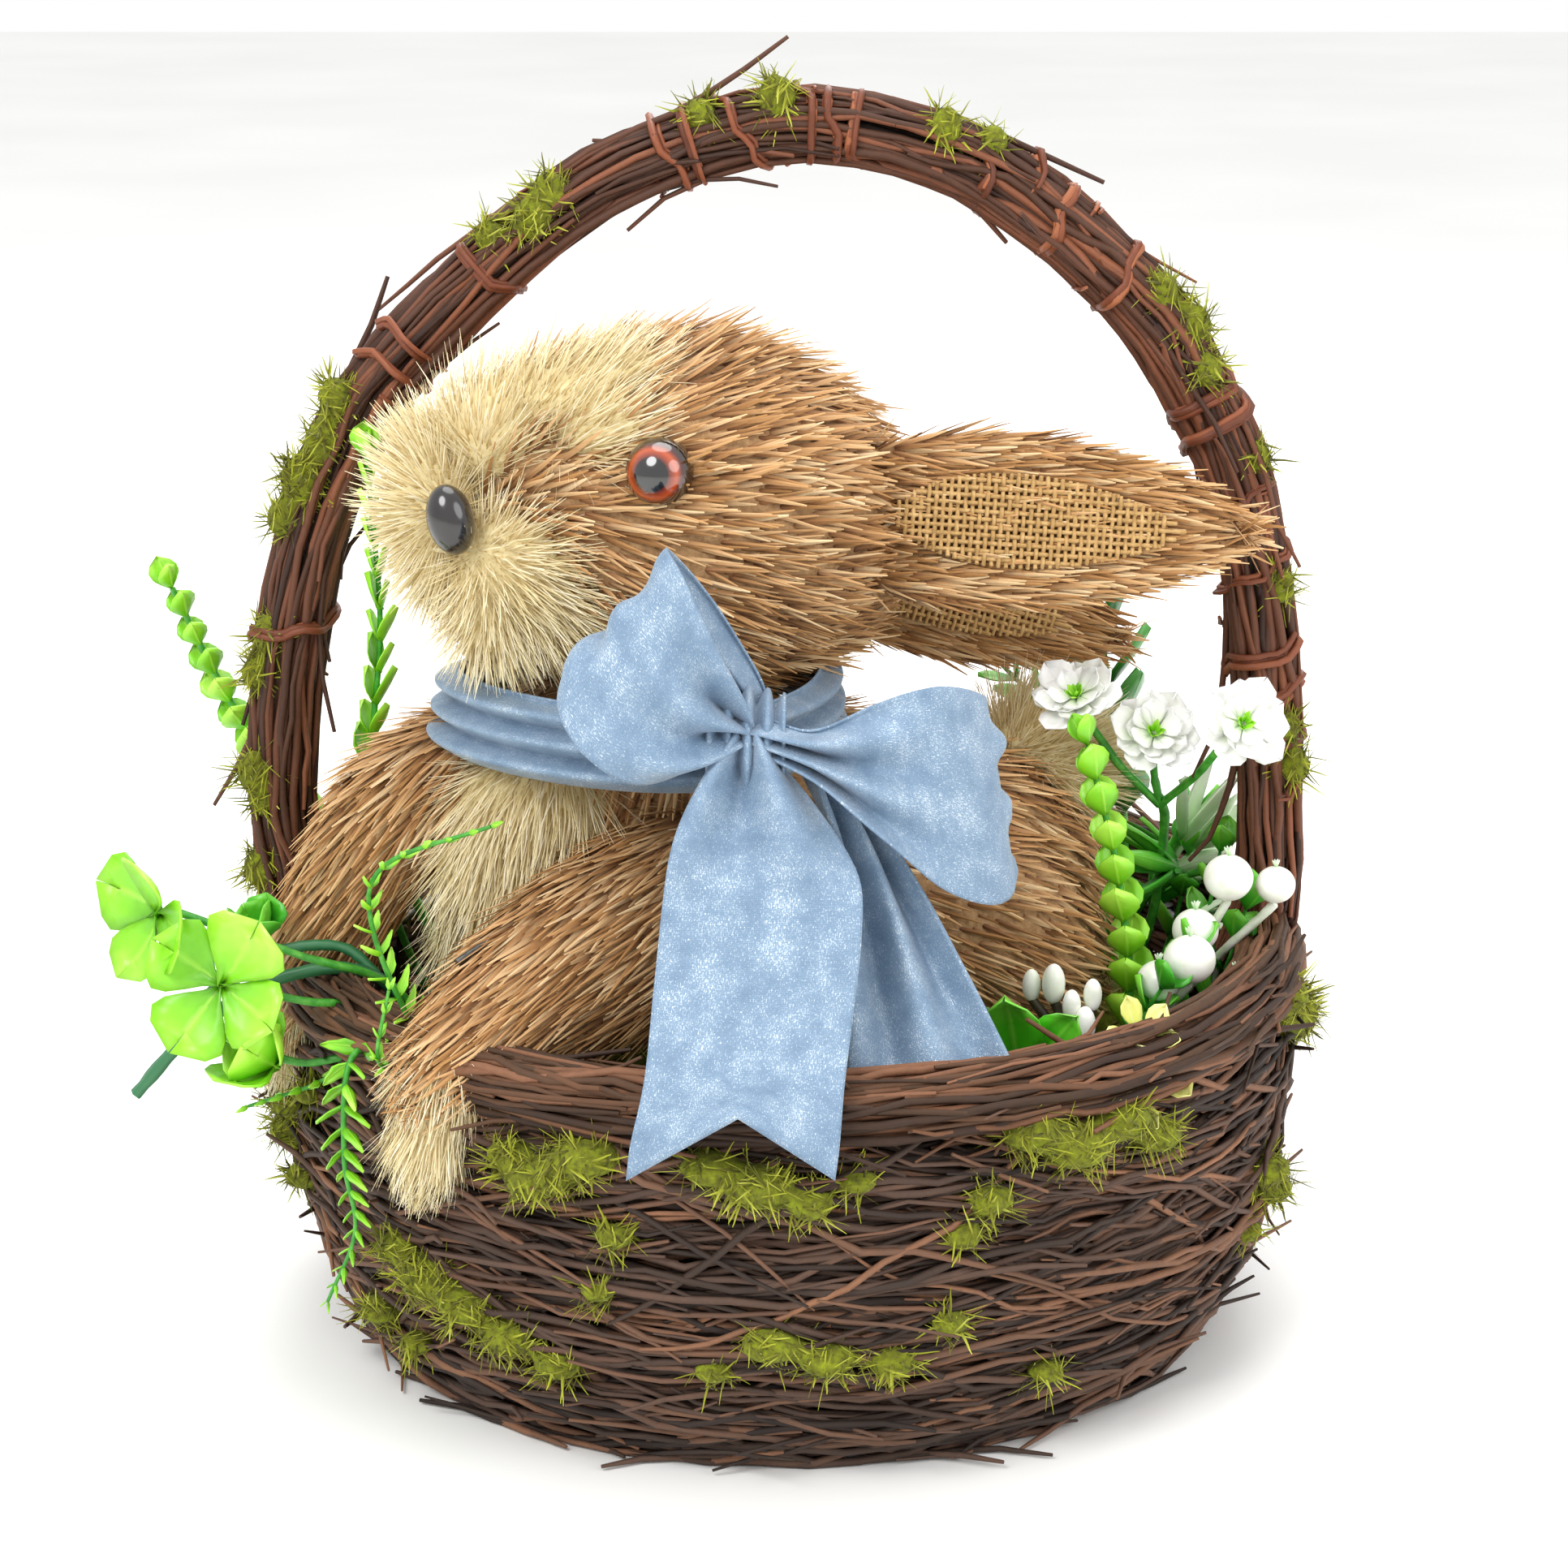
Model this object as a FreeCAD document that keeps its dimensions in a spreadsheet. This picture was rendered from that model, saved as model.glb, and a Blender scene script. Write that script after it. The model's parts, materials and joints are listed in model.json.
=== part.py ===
import FreeCAD, Part
import math
import os
import re

# Easter basket: a round twig basket on a wire frame, with a tall twig handle, a straw rabbit
# sitting in moss inside it, a ribbon bow at the rabbit's neck, and sprigs pushed into a foam block.
# Millimetres. X runs to the right, Y runs away from the front, Z runs up, and Z = 0 is the floor.

os.makedirs("parts", exist_ok=True)
doc = FreeCAD.newDocument("easter_basket")
Vector = FreeCAD.Vector

# ---- sizes -----------------------------------------------------------------------------------

SIZES = [
    ("basket_radius", 124, "widest outside radius of the twig wall"),
    ("foot_inset", 18, "twig wall at the floor, inside the widest radius"),
    ("belly_height", 62, "height of the widest place"),
    ("rim_height", 93, "height of the middle of the rim coil"),
    ("rim_tube", 8, "half thickness of the rim coil"),
    ("rim_inset", 5, "rim coil's circle, inside the widest radius"),
    ("wall_thick", 12, "twig wall"),
    ("base_thick", 8, "base pad"),
    ("frame_wire", 3, "rings and ribs of the wire frame, diameter"),
    ("rib_count", 8, "upright wires"),
    ("handle_rise", 209, "top of the handle above the middle of the rim coil"),
    ("handle_tube", 7.5, "half thickness of the twig handle"),
    ("handle_wire", 4, "steel core of the handle, diameter"),
    ("handle_sink", 24, "ends of the handle's wire below the middle of the rim coil"),
    ("tie_tube", 1.7, "half thickness of the vine ties on the handle"),
    ("fit_gap", 0.3, "clearance between pieces that are pushed together"),
    ("foam_drop", 33, "top of the foam below the middle of the rim coil"),
    ("foam_gap", 0.44, "clearance round the foam block where it goes through the foot of the wall"),
    ("moss_depth", 20, "moss lying on the foam"),
    ("coat_thick", 7, "straw coat over the foam forms"),
    ("torso_width", 92, "chest of the rabbit with its coat, left to right"),
    ("torso_depth", 84, "chest, front to back"),
    ("torso_tall", 100, "chest, top to bottom"),
    ("rump_width", 100, "hindquarters with the coat, left to right"),
    ("rump_depth", 90, "hindquarters, front to back"),
    ("rump_tall", 90, "hindquarters, top to bottom"),
    ("neck_radius", 42, "straw neck under the ribbon"),
    ("head_long", 108, "head with the coat, left to right"),
    ("head_depth", 92, "head, front to back"),
    ("head_tall", 92, "head, top to bottom"),
    ("eye_radius", 7.5, "glass eyes"),
    ("ear_long", 88, "ear from root to tip"),
    ("ear_wide", 42, "ear across its middle"),
    ("ear_thick", 11, "ear, front to back"),
    ("dowel_width", 9, "wooden spine, diameter"),
    ("soft_wire", 2, "wires in the ears and arms, diameter"),
    ("arm_width", 26, "arm across its middle"),
    ("paw_width", 22, "paw across its middle"),
    ("ribbon_width", 45, "ribbon"),
    ("ribbon_thick", 1.2, "ribbon"),
    ("loop_length", 50, "bow loop from the knot to its round end"),
    ("stem_width", 2, "sprig stems, diameter"),
    ("leaf_thick", 0.9, "plastic leaves"),
]

DERIVED = [
    ("base_radius", "=basket_radius - foot_inset"),
    ("wall_curve", "=((basket_radius - base_radius)^2 + belly_height^2) / (2 * (basket_radius - base_radius))"),
    ("curve_centre", "=basket_radius - wall_curve"),
    ("foot_inside", "=curve_centre + sqrt((wall_curve - wall_thick)^2 - belly_height^2)"),
    ("foam_radius", "=foot_inside - foam_gap"),
    ("rim_radius", "=basket_radius - rim_inset"),
    ("wall_top", "=rim_height - rim_tube / 2"),
    ("foam_top", "=rim_height - foam_drop"),
    ("rump_x", "=30"),
    ("rump_y", "=5"),
    ("rump_z", "=foam_top + fit_gap + rump_tall / 2"),
    ("torso_x", "=-33"),
    ("torso_y", "=-17"),
    ("torso_z", "=foam_top + fit_gap + 10 + torso_tall / 2"),
    ("neck_z", "=torso_z + torso_tall / 2 - 22"),
    ("head_x", "=torso_x + 7"),
    ("head_y", "=torso_y + 2"),
    ("head_z", "=neck_z + head_tall / 2 + 10"),
    ("handle_top", "=rim_height + handle_rise"),
]

sheet = doc.addObject("Spreadsheet::Sheet", "Sizes")
for row, (alias, value, meaning) in enumerate(SIZES, start=1):
    sheet.set("A%d" % row, meaning)
    sheet.set("B%d" % row, str(value))
    sheet.setAlias("B%d" % row, alias)
for row, (alias, formula) in enumerate(DERIVED, start=len(SIZES) + 1):
    sheet.set("B%d" % row, formula)
    sheet.setAlias("B%d" % row, alias)
    doc.recompute()


def size(alias):
    return float(sheet.get(alias))


def bind(item, field, formula):
    """Ties a field to a formula of the size sheet, such as 'rim_height + rim_tube'."""
    item.setExpression(field, re.sub(r"\b([a-z]+(_[a-z]+)+)\b", r"Sizes.\1", formula))


# ---- helpers ---------------------------------------------------------------------------------

def origin_plane(body, role):
    for feature in body.Origin.OriginFeatures:
        if feature.Role == role:
            return feature


def sketch_on(body, role, name):
    sketch = body.newObject("Sketcher::SketchObject", name)
    sketch.AttachmentSupport = [(origin_plane(body, role), "")]
    sketch.MapMode = "FlatFace"
    return sketch


def tie(sketch, constraint, formula):
    """Adds a constraint and ties its value to the sheet."""
    number = sketch.addConstraint(constraint)
    bind(sketch, "Constraints[%d]" % number, formula)


def circle_in(sketch, across, up, radius, values):
    """A circle whose centre and radius are formulas; values are their present numbers."""
    x, y, r = values
    ring = sketch.addGeometry(Part.Circle(Vector(x, y, 0), Vector(0, 0, 1), r), False)
    tie(sketch, sketch_constraint("DistanceX", -1, 1, ring, 3, x), across)
    tie(sketch, sketch_constraint("DistanceY", -1, 1, ring, 3, y), up)
    tie(sketch, sketch_constraint("Radius", ring, r), radius)
    return ring


def sketch_constraint(*words):
    import Sketcher
    return Sketcher.Constraint(*words)


def revolve(body, sketch, name, kind="PartDesign::Revolution"):
    turn = body.newObject(kind, name)
    turn.Profile = sketch
    turn.ReferenceAxis = (sketch, ["V_Axis"])
    turn.Angle = 360
    body.Tip = turn
    return turn


def ellipsoid(name, centre, radii):
    """A ball with three radii. centre and radii hold formulas of the sheet, in X, Y, Z order."""
    ball = doc.addObject("Part::Ellipsoid", name)
    ball.Angle1 = -90
    ball.Angle2 = 90
    ball.Angle3 = 360
    bind(ball, "Radius1", radii[2])
    bind(ball, "Radius2", radii[0])
    bind(ball, "Radius3", radii[1])
    for axis, formula in zip("xyz", centre):
        bind(ball, "Placement.Base." + axis, formula)
    return ball


def rod(name, start, end, radius):
    """A round rod between two points."""
    bar = doc.addObject("Part::Cylinder", name)
    bind(bar, "Radius", radius)
    way = end - start
    bar.Height = way.Length
    bar.Placement = FreeCAD.Placement(start, FreeCAD.Rotation(Vector(0, 0, 1), way))
    return bar


def join(name, pieces):
    whole = doc.addObject("Part::MultiFuse", name)
    whole.Refine = False
    whole.Shapes = pieces
    return whole


def cut(name, piece, tools):
    """Takes each tool in turn out of the piece. The last result carries the name."""
    for number, tool in enumerate(tools, start=1):
        last = number == len(tools)
        result = doc.addObject("Part::Cut", name if last else "%s_cut_%d" % (name, number))
        result.Refine = False
        result.Base = piece
        result.Tool = tool
        piece = result
    return piece


def free_form(name, shape):
    """A piece whose shape is worked out here from the sheet's sizes."""
    item = doc.addObject("Part::Feature", name)
    item.Shape = shape
    return item


def tube_on(path, way, radius):
    """A round tube along a path. way is the path's direction at its first point."""
    ring = Part.Wire([Part.makeCircle(radius, path.Vertexes[0].Point, way)])
    return path.makePipeShell([ring], True, True)


def tube_along(points, radius):
    """A round tube along a smooth line through the points."""
    line = Part.BSplineCurve()
    line.interpolate(points)
    return tube_on(Part.Wire([line.toShape()]), line.tangent(line.FirstParameter)[0], radius)


def arc_from(start, way, end):
    """The arc that leaves start along way and reaches end, or a line where they are in line."""
    chord = end - start
    lean = chord.getAngle(way)
    if lean < 1e-4:
        return Part.makeLine(start, end)
    along = Vector(chord).normalize()
    outward = (way - along * way.dot(along)).normalize()
    middle = (start + end) * 0.5 + outward * (chord.Length / 2 * math.tan(lean / 2))
    return Part.Arc(start, middle, end).toShape()


def arc_path(points, ways):
    """Tangent arcs, two from each point to the next, that pass every point in its direction."""
    edges = []
    for start, end, leave, arrive in zip(points, points[1:], ways, ways[1:]):
        gap = end - start
        both = leave + arrive
        turned = 2 * (1 - leave.dot(arrive))
        if turned < 1e-9:
            reach = gap.dot(gap) / (2 * gap.dot(both))
        else:
            run = gap.dot(both)
            reach = (math.sqrt(run * run + turned * gap.dot(gap)) - run) / turned
        meet = (start + end) * 0.5 + (leave - arrive) * (reach / 2)
        first = arc_from(start, leave, meet)
        second = arc_from(end, arrive * -1, meet)
        edges += [first, second]
    return Part.Wire(Part.__sortEdges__(edges))


def capsule(start, end, radius):
    """A round bar with ball ends that reaches from start to end."""
    way = end - start
    straight = way.Length - 2 * radius
    corners = [Vector(0, 0, 0), Vector(radius, 0, radius), Vector(radius, 0, radius + straight),
               Vector(0, 0, way.Length)]
    slant = radius * math.sqrt(0.5)
    low = Vector(slant, 0, radius - slant)
    high = Vector(slant, 0, radius + straight + slant)
    edges = [Part.Arc(corners[0], low, corners[1]).toShape(), Part.makeLine(corners[1], corners[2]),
             Part.Arc(corners[2], high, corners[3]).toShape(), Part.makeLine(corners[3], corners[0])]
    bar = Part.Face(Part.Wire(edges)).revolve(Vector(0, 0, 0), Vector(0, 0, 1), 360)
    bar.Placement = FreeCAD.Placement(start, FreeCAD.Rotation(Vector(0, 0, 1), way))
    return bar


def around(angle, radius, height):
    """The point at an angle round the basket, in degrees from +X towards +Y."""
    turn = math.radians(angle)
    return Vector(radius * math.cos(turn), radius * math.sin(turn), height)


nodes = []


def keep(item):
    nodes.append(item)
    return item


# ---- the basket ------------------------------------------------------------------------------

def make_base_pad():
    """A round mat of coiled twigs that closes the bottom, inside the foot of the wall."""
    body = doc.addObject("PartDesign::Body", "base_pad")
    sketch = sketch_on(body, "XY_Plane", "base_pad_outline")
    radius = size("foot_inside") - size("fit_gap")
    circle_in(sketch, "0", "0", "foot_inside - fit_gap", (0, 0, radius))
    pad = body.newObject("PartDesign::Pad", "base_pad_disc")
    pad.Profile = sketch
    bind(pad, "Length", "base_thick")
    body.Tip = pad
    return body


def make_basket_wall():
    """Twigs laid round and round the frame. The outside bulges; the top is hollowed for the rim."""
    body = doc.addObject("PartDesign::Body", "wall_round_body")
    sketch = sketch_on(body, "XZ_Plane", "wall_section")
    centre = Vector(size("curve_centre"), size("belly_height"), 0)
    outer = size("wall_curve")
    inner = outer - size("wall_thick")

    def height_angle(radius, height):
        return math.asin((height - centre.y) / radius)

    def on_curve(radius, height):
        turn = height_angle(radius, height)
        return centre + Vector(radius * math.cos(turn), radius * math.sin(turn), 0)

    curves = []
    for radius in (outer, inner):
        ring = Part.Circle(centre, Vector(0, 0, 1), radius)
        first = height_angle(radius, 0)
        last = height_angle(radius, size("wall_top"))
        curves.append(sketch.addGeometry(Part.ArcOfCircle(ring, first, last), False))
    foot = Part.LineSegment(on_curve(outer, 0), on_curve(inner, 0))
    top = Part.LineSegment(on_curve(outer, size("wall_top")), on_curve(inner, size("wall_top")))
    edges = [sketch.addGeometry(foot, False), sketch.addGeometry(top, False)]
    for edge, end in zip(edges, (1, 2)):
        sketch.addConstraint(sketch_constraint("Coincident", edge, 1, curves[0], end))
        sketch.addConstraint(sketch_constraint("Coincident", edge, 2, curves[1], end))
        sketch.addConstraint(sketch_constraint("Horizontal", edge))
    sketch.addConstraint(sketch_constraint("Coincident", curves[0], 3, curves[1], 3))
    tie(sketch, sketch_constraint("DistanceX", -1, 1, curves[0], 3, centre.x), "curve_centre")
    tie(sketch, sketch_constraint("DistanceY", -1, 1, curves[0], 3, centre.y), "belly_height")
    tie(sketch, sketch_constraint("Radius", curves[0], outer), "wall_curve")
    tie(sketch, sketch_constraint("Radius", curves[1], inner), "wall_curve - wall_thick")
    tie(sketch, sketch_constraint("DistanceY", -1, 1, edges[1], 1, size("wall_top")), "wall_top")
    sketch.addConstraint(sketch_constraint("PointOnObject", edges[0], 1, -1))
    revolve(body, sketch, "wall_round")
    seat = sketch_on(body, "XZ_Plane", "rim_seat")
    values = (size("rim_radius"), size("rim_height"), size("rim_tube") + size("fit_gap"))
    circle_in(seat, "rim_radius", "rim_height", "rim_tube + fit_gap", values)
    revolve(body, seat, "rim_seat_groove", "PartDesign::Groove")
    return body


def rib_point(height):
    """A point of the line that the upright wires follow, just inside the wall."""
    radius = size("wall_curve") - size("wall_thick") - size("frame_wire") / 2 - size("fit_gap")
    rise = height - size("belly_height")
    return size("curve_centre") + math.sqrt(radius * radius - rise * rise)


def make_wire_frame():
    """A ring on the base, a ring under the rim, and bent upright wires welded to both."""
    wire = size("frame_wire") / 2
    low = size("base_thick") + wire + size("fit_gap") + 4
    high = size("wall_top") - wire - 2
    rings = [Part.makeTorus(rib_point(z) - wire * 0.6, wire, Vector(0, 0, z)) for z in (low, high)]
    foot, top = low - 3, high + 2
    points = [Vector(rib_point(z), 0, z) for z in (foot, (foot + top) / 2, top)]
    bend = Part.Arc(*points)
    rib = tube_on(Part.Wire([bend.toShape()]), bend.tangent(bend.FirstParameter)[0], wire)
    ribs = []
    for number in range(int(size("rib_count"))):
        copy = rib.copy()
        copy.rotate(Vector(0, 0, 0), Vector(0, 0, 1), (number + 0.5) * 360 / size("rib_count"))
        ribs.append(copy)
    return free_form("wire_frame", rings[0].multiFuse(rings[1:] + ribs))


def handle_path():
    """The handle's middle line, an arch of tangent arcs. Its ends lean in below the rim coil."""
    half = size("rim_radius")
    sink = size("handle_sink")
    leg = size("rim_height") + size("rim_tube") * 0.6
    spring = size("rim_height") + size("handle_rise") * 0.345
    tall = size("handle_top") - size("handle_tube") - spring
    fullness = 2 / 1.85
    points = [Vector(-half + sink * 0.7, 0, size("rim_height") - sink), Vector(-half, 0, leg),
              Vector(-half, 0, spring)]
    ways = [Vector(-0.5, 0, 1), Vector(-0.12, 0, 1), Vector(0, 0, 1)]
    for turn in (math.radians(30), math.radians(60)):
        low, high = math.cos(turn), math.sin(turn)
        points.append(Vector(-half * low ** fullness, 0, spring + tall * high ** fullness))
        ways.append(Vector(half * high * low ** (fullness - 1), 0, tall * low * high ** (fullness - 1)))
    far_points = [Vector(-point.x, 0, point.z) for point in reversed(points)]
    far_ways = [Vector(way.x, 0, -way.z) for way in reversed(ways)]
    points += [Vector(0, 0, spring + tall)] + far_points
    ways = [way.normalize() for way in ways + [Vector(1, 0, 0)] + far_ways]
    return arc_path(points, ways), ways[0]


def make_handle_pieces(rim_ball):
    """A steel wire, and the twigs bound round it. The wire's ends go down through the rim."""
    path, way = handle_path()
    wire = free_form("handle_wire", tube_on(path, way, size("handle_wire") / 2))
    twigs = tube_on(path, way, size("handle_tube"))
    wide = size("basket_radius") * 2
    below = Part.makeBox(2 * wide, wide, wide, Vector(-wide, -wide / 2, size("rim_height") + 2 - wide))
    bundle = free_form("handle_bundle_round", twigs.cut(below))
    bundle = cut("handle_bundle", bundle, [wire, rim_ball])
    return wire, bundle


def handle_station(part_way):
    """A point on the handle's middle line and the line's direction there."""
    steps = 400
    points = handle_path()[0].discretize(Number=steps + 1)
    place = round(part_way * steps)
    return points[place], (points[place + 1] - points[place - 1]).normalize()


def make_tie(name, part_way):
    """A length of vine wound once round the handle."""
    point, way = handle_station(part_way)
    ring = size("handle_tube") + size("tie_tube") + size("fit_gap")
    return free_form(name, Part.makeTorus(ring, size("tie_tube"), point, way))


def make_handle_moss(name, part_way, length, handle):
    """A tuft of moss glued round the handle."""
    point, way = handle_station(part_way)
    middle = point + Vector(0, -5, 0)
    tuft = capsule(middle - way * (length / 2), middle + way * (length / 2), size("handle_tube") + 2)
    return cut(name, free_form(name + "_tuft", tuft), handle)


def make_wall_moss(name, angle, height, length, wall, rim):
    """A pad of moss glued on the outside of the wall, just below the rim."""
    rise = height - size("belly_height")
    radius = size("curve_centre") + math.sqrt(size("wall_curve") ** 2 - rise * rise)
    middle = around(angle, radius, height)
    side = around(angle + 90, length / 2, 0)
    return cut(name, free_form(name + "_pad", capsule(middle - side, middle + side, 8)), [wall, rim])


base_pad = keep(make_base_pad())
wall_body = make_basket_wall()
wire_frame = keep(make_wire_frame())
rim_round = doc.addObject("PartDesign::Body", "rim_round")
rim_sketch = sketch_on(rim_round, "XZ_Plane", "rim_section")
circle_in(rim_sketch, "rim_radius", "rim_height", "rim_tube",
          (size("rim_radius"), size("rim_height"), size("rim_tube")))
revolve(rim_round, rim_sketch, "rim_turned")
doc.recompute()
handle_wire, handle_bundle = make_handle_pieces(rim_round)
rim_coil = keep(cut("rim_coil", rim_round, [handle_wire]))
basket_wall = keep(cut("basket_wall", wall_body, [handle_wire]))
keep(handle_wire)
keep(handle_bundle)
for tie_name, tie_place in (("handle_tie_left", 0.16), ("handle_tie_top", 0.53), ("handle_tie_right", 0.82)):
    keep(make_tie(tie_name, tie_place))
doc.recompute()
keep(make_handle_moss("handle_moss_left", 0.25, 42, [handle_bundle, handle_wire]))
keep(make_handle_moss("handle_moss_right", 0.72, 46, [handle_bundle, handle_wire]))
keep(make_wall_moss("wall_moss_left", 248, 74, 44, basket_wall, rim_coil))
keep(make_wall_moss("wall_moss_right", 312, 74, 64, basket_wall, rim_coil))

# ---- the rabbit: foam forms, straw coat, face, ears and arms -------------------------------------

DOWEL_FOOT = size("base_thick") + 16
dowel = rod("spine_dowel", Vector(size("torso_x"), size("torso_y"), DOWEL_FOOT),
            Vector(size("torso_x"), size("torso_y"), size("head_z") - 6), "dowel_width / 2")


def form(name, place, sizes, less):
    """A ball for one part of the rabbit; less is the coat that lies outside it."""
    centre = [place + "_x", place + "_y", place + "_z"]
    radii = ["%s / 2 - %s" % (word, less) for word in sizes]
    return ellipsoid(name, centre, radii)


torso = ("torso_width", "torso_depth", "torso_tall")
rump = ("rump_width", "rump_depth", "rump_tall")
head = ("head_long", "head_depth", "head_tall")
core_ball = join("body_core_round", [form("torso_core", "torso", torso, "coat_thick"),
                                     form("rump_core", "rump", rump, "coat_thick")])
neck = doc.addObject("Part::Cylinder", "neck_straw")
bind(neck, "Radius", "neck_radius")
bind(neck, "Height", "28")
bind(neck, "Placement.Base.x", "torso_x")
bind(neck, "Placement.Base.y", "torso_y")
bind(neck, "Placement.Base.z", "neck_z - 14")
coat_ball = join("body_coat_round", [form("torso_coat", "torso", torso, "0"),
                                     form("rump_coat", "rump", rump, "0"), neck])
head_core_ball = form("head_core_round", "head", head, "coat_thick")
head_coat_ball = form("head_coat_round", "head", head, "0")

head_at = Vector(size("head_x"), size("head_y"), size("head_z"))
head_half = Vector(size("head_long") / 2, size("head_depth") / 2, size("head_tall") / 2)
ear_near_root = head_at + Vector(head_half.x * 0.82, -8, 0)
ear_near_tip = ear_near_root + Vector(size("ear_long"), -8, -4)
ear_far_root = head_at + Vector(head_half.x * 0.6, 29, -13)
ear_far_tip = ear_far_root + Vector(size("ear_long") * 0.86, 13, -size("ear_long") * 0.28)


def ear_leaf(name, root, tip, width, thick, shift):
    """A long flat oval, pointed along root to tip; shift moves it to the front."""
    way = tip - root
    ball = Part.makeSphere(1)
    ball.rotate(Vector(0, 0, 0), Vector(0, 0, 1), 50)
    stretch = FreeCAD.Matrix()
    stretch.scale(Vector(way.Length / 2, thick / 2, width / 2))
    ball = ball.transformGeometry(stretch)
    slope = math.degrees(math.atan2(-way.z, way.x))
    yaw = math.degrees(math.atan2(way.y, way.x))
    turn = FreeCAD.Rotation(Vector(0, 0, 1), yaw).multiply(FreeCAD.Rotation(Vector(0, 1, 0), slope))
    ball.Placement = FreeCAD.Placement((root + tip) * 0.5 + Vector(0, shift, 0), turn)
    return free_form(name, ball)


def ear_pieces(side, root, tip):
    """The straw ear, the burlap let into its front, and the wire down its middle."""
    way = tip - root
    wire = rod("ear_wire_" + side, root - way * 0.32, root + way * 0.9, "soft_wire / 2")
    straw = ear_leaf("ear_%s_straw" % side, root, tip, size("ear_wide"), size("ear_thick"), 0)
    inner_root = root + way * 0.2
    inner_tip = root + way * 0.92
    panel = ear_leaf("ear_%s_panel" % side, inner_root, inner_tip, size("ear_wide") * 0.6, 5,
                     -size("ear_thick") / 2 + 1.2)
    doc.recompute()
    lining = cut("ear_%s_lining" % side, panel, [wire])
    coat = cut("ear_%s_coat" % side, straw, [head_coat_ball, wire, panel])
    return coat, lining, wire


near_ear = ear_pieces("near", ear_near_root, ear_near_tip)
far_ear = ear_pieces("far", ear_far_root, ear_far_tip)

eye_reach = "sqrt(1 - (18 / head_tall * 2)^2) * head_depth / 2"
eye_near = ellipsoid("eye_near", ["head_x - 2", "head_y + 3 - " + eye_reach, "head_z + 18"], ["eye_radius"] * 3)
eye_far = ellipsoid("eye_far", ["head_x - 36", "head_y - 1 + head_depth * 0.3", "head_z + 18"], ["eye_radius"] * 3)

head_core = keep(cut("head_core", head_core_ball, [dowel, eye_near, eye_far, near_ear[2], far_ear[2], neck]))

def make_neck_band():
    """The ribbon's turn round the neck."""
    body = doc.addObject("PartDesign::Body", "neck_strip")
    sketch = sketch_on(body, "XY_Plane", "neck_band_rings")
    inner = size("neck_radius") + size("fit_gap")
    centre = (size("torso_x"), size("torso_y"))
    circle_in(sketch, "torso_x", "torso_y", "neck_radius + fit_gap", centre + (inner,))
    circle_in(sketch, "torso_x", "torso_y", "neck_radius + fit_gap + ribbon_thick",
              centre + (inner + size("ribbon_thick"),))
    pad = body.newObject("PartDesign::Pad", "neck_band_strip")
    pad.Profile = sketch
    pad.Length = 17
    body.Tip = pad
    bind(body, "Placement.Base.z", "neck_z - 3")
    return body


neck_strip = make_neck_band()

# Arms reach from the chest over the rim; each paw hangs on the outside of the wall.
NEAR_SIDE = 228
FAR_SIDE = 193


def arm_pieces(side, shoulder, angle):
    rim_top = size("rim_height") + size("rim_tube")
    wrist = around(angle, size("rim_radius") - 4, rim_top + size("arm_width") / 2 - 1)
    tip = around(angle, size("rim_radius") + size("rim_tube") + 5, rim_top - 34)
    arm = free_form("arm_%s_round" % side, capsule(shoulder, wrist, size("arm_width") / 2))
    heel = wrist + (wrist - shoulder).normalize() * 4 + Vector(0, 0, 3)
    paw = free_form("paw_%s_round" % side, capsule(heel, tip, size("paw_width") / 2))
    wire = rod("arm_wire_" + side, shoulder + (shoulder - wrist) * 0.2, wrist + (shoulder - wrist) * 0.05,
               "soft_wire / 2")
    return arm, paw, wire


torso_at = Vector(size("torso_x"), size("torso_y"), size("torso_z"))
near_arm = arm_pieces("near", torso_at + Vector(-4, -34, 11), NEAR_SIDE)
far_arm = arm_pieces("far", torso_at + Vector(-38, 1, 12), FAR_SIDE)
doc.recompute()

keep(cut("body_core", core_ball, [dowel, near_arm[2], far_arm[2]]))
body_coat = keep(cut("body_coat", coat_ball, [core_ball, dowel, head_core_ball, near_arm[2], far_arm[2]]))
head_coat = keep(cut("head_coat", head_coat_ball, [coat_ball, head_core_ball, eye_near, eye_far,
                                                   near_ear[2], far_ear[2]]))
for piece in near_ear + far_ear + (dowel, eye_near, eye_far):
    keep(piece)
for side, (arm, paw, wire) in (("near", near_arm), ("far", far_arm)):
    keep(cut("arm_" + side, arm, [coat_ball, neck_strip, wire, rim_round]))
    keep(cut("paw_" + side, paw, [arm, rim_round, basket_wall, wire]))
    keep(wire)


def tuft(name, place, offset, radius, tools):
    """A tuft of pale sisal glued on: a ball, less whatever it sits against."""
    ball = doc.addObject("Part::Sphere", name + "_ball")
    bind(ball, "Radius", str(radius))
    for axis, value in zip("xyz", offset):
        bind(ball, "Placement.Base." + axis, "%s_%s + %s" % (place, axis, value))
    return ball, keep(cut(name, ball, tools))


NOSE = ["head_x - 51", "head_y - 44", "head_z + 7"]
nose = keep(ellipsoid("nose_button", NOSE, ["4.8", "5", "7"]))
near_puff, muzzle_near = tuft("muzzle_near", "head", (-38, -36, -4), 15, [head_coat_ball, nose])
far_puff, muzzle_far = tuft("muzzle_far", "head", (-56, -25, 6), 14, [head_coat_ball, near_puff, nose])
bridge_puff, muzzle_bridge = tuft("muzzle_bridge", "head", (-44, -22, 24), 12.5,
                                  [head_coat_ball, near_puff, far_puff, nose])
chest, chest_patch = tuft("chest_patch", "torso", (-33, -27, -4), 17, [coat_ball, near_arm[0], far_arm[0]])
tail, tail_puff = tuft("tail_puff", "rump", (40, 8, 33), 15, [coat_ball])

# ---- the ribbon --------------------------------------------------------------------------------

knot_at = Vector(size("torso_x") + 23, size("torso_y") - size("neck_radius") - 16, size("neck_z") + 12)


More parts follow.
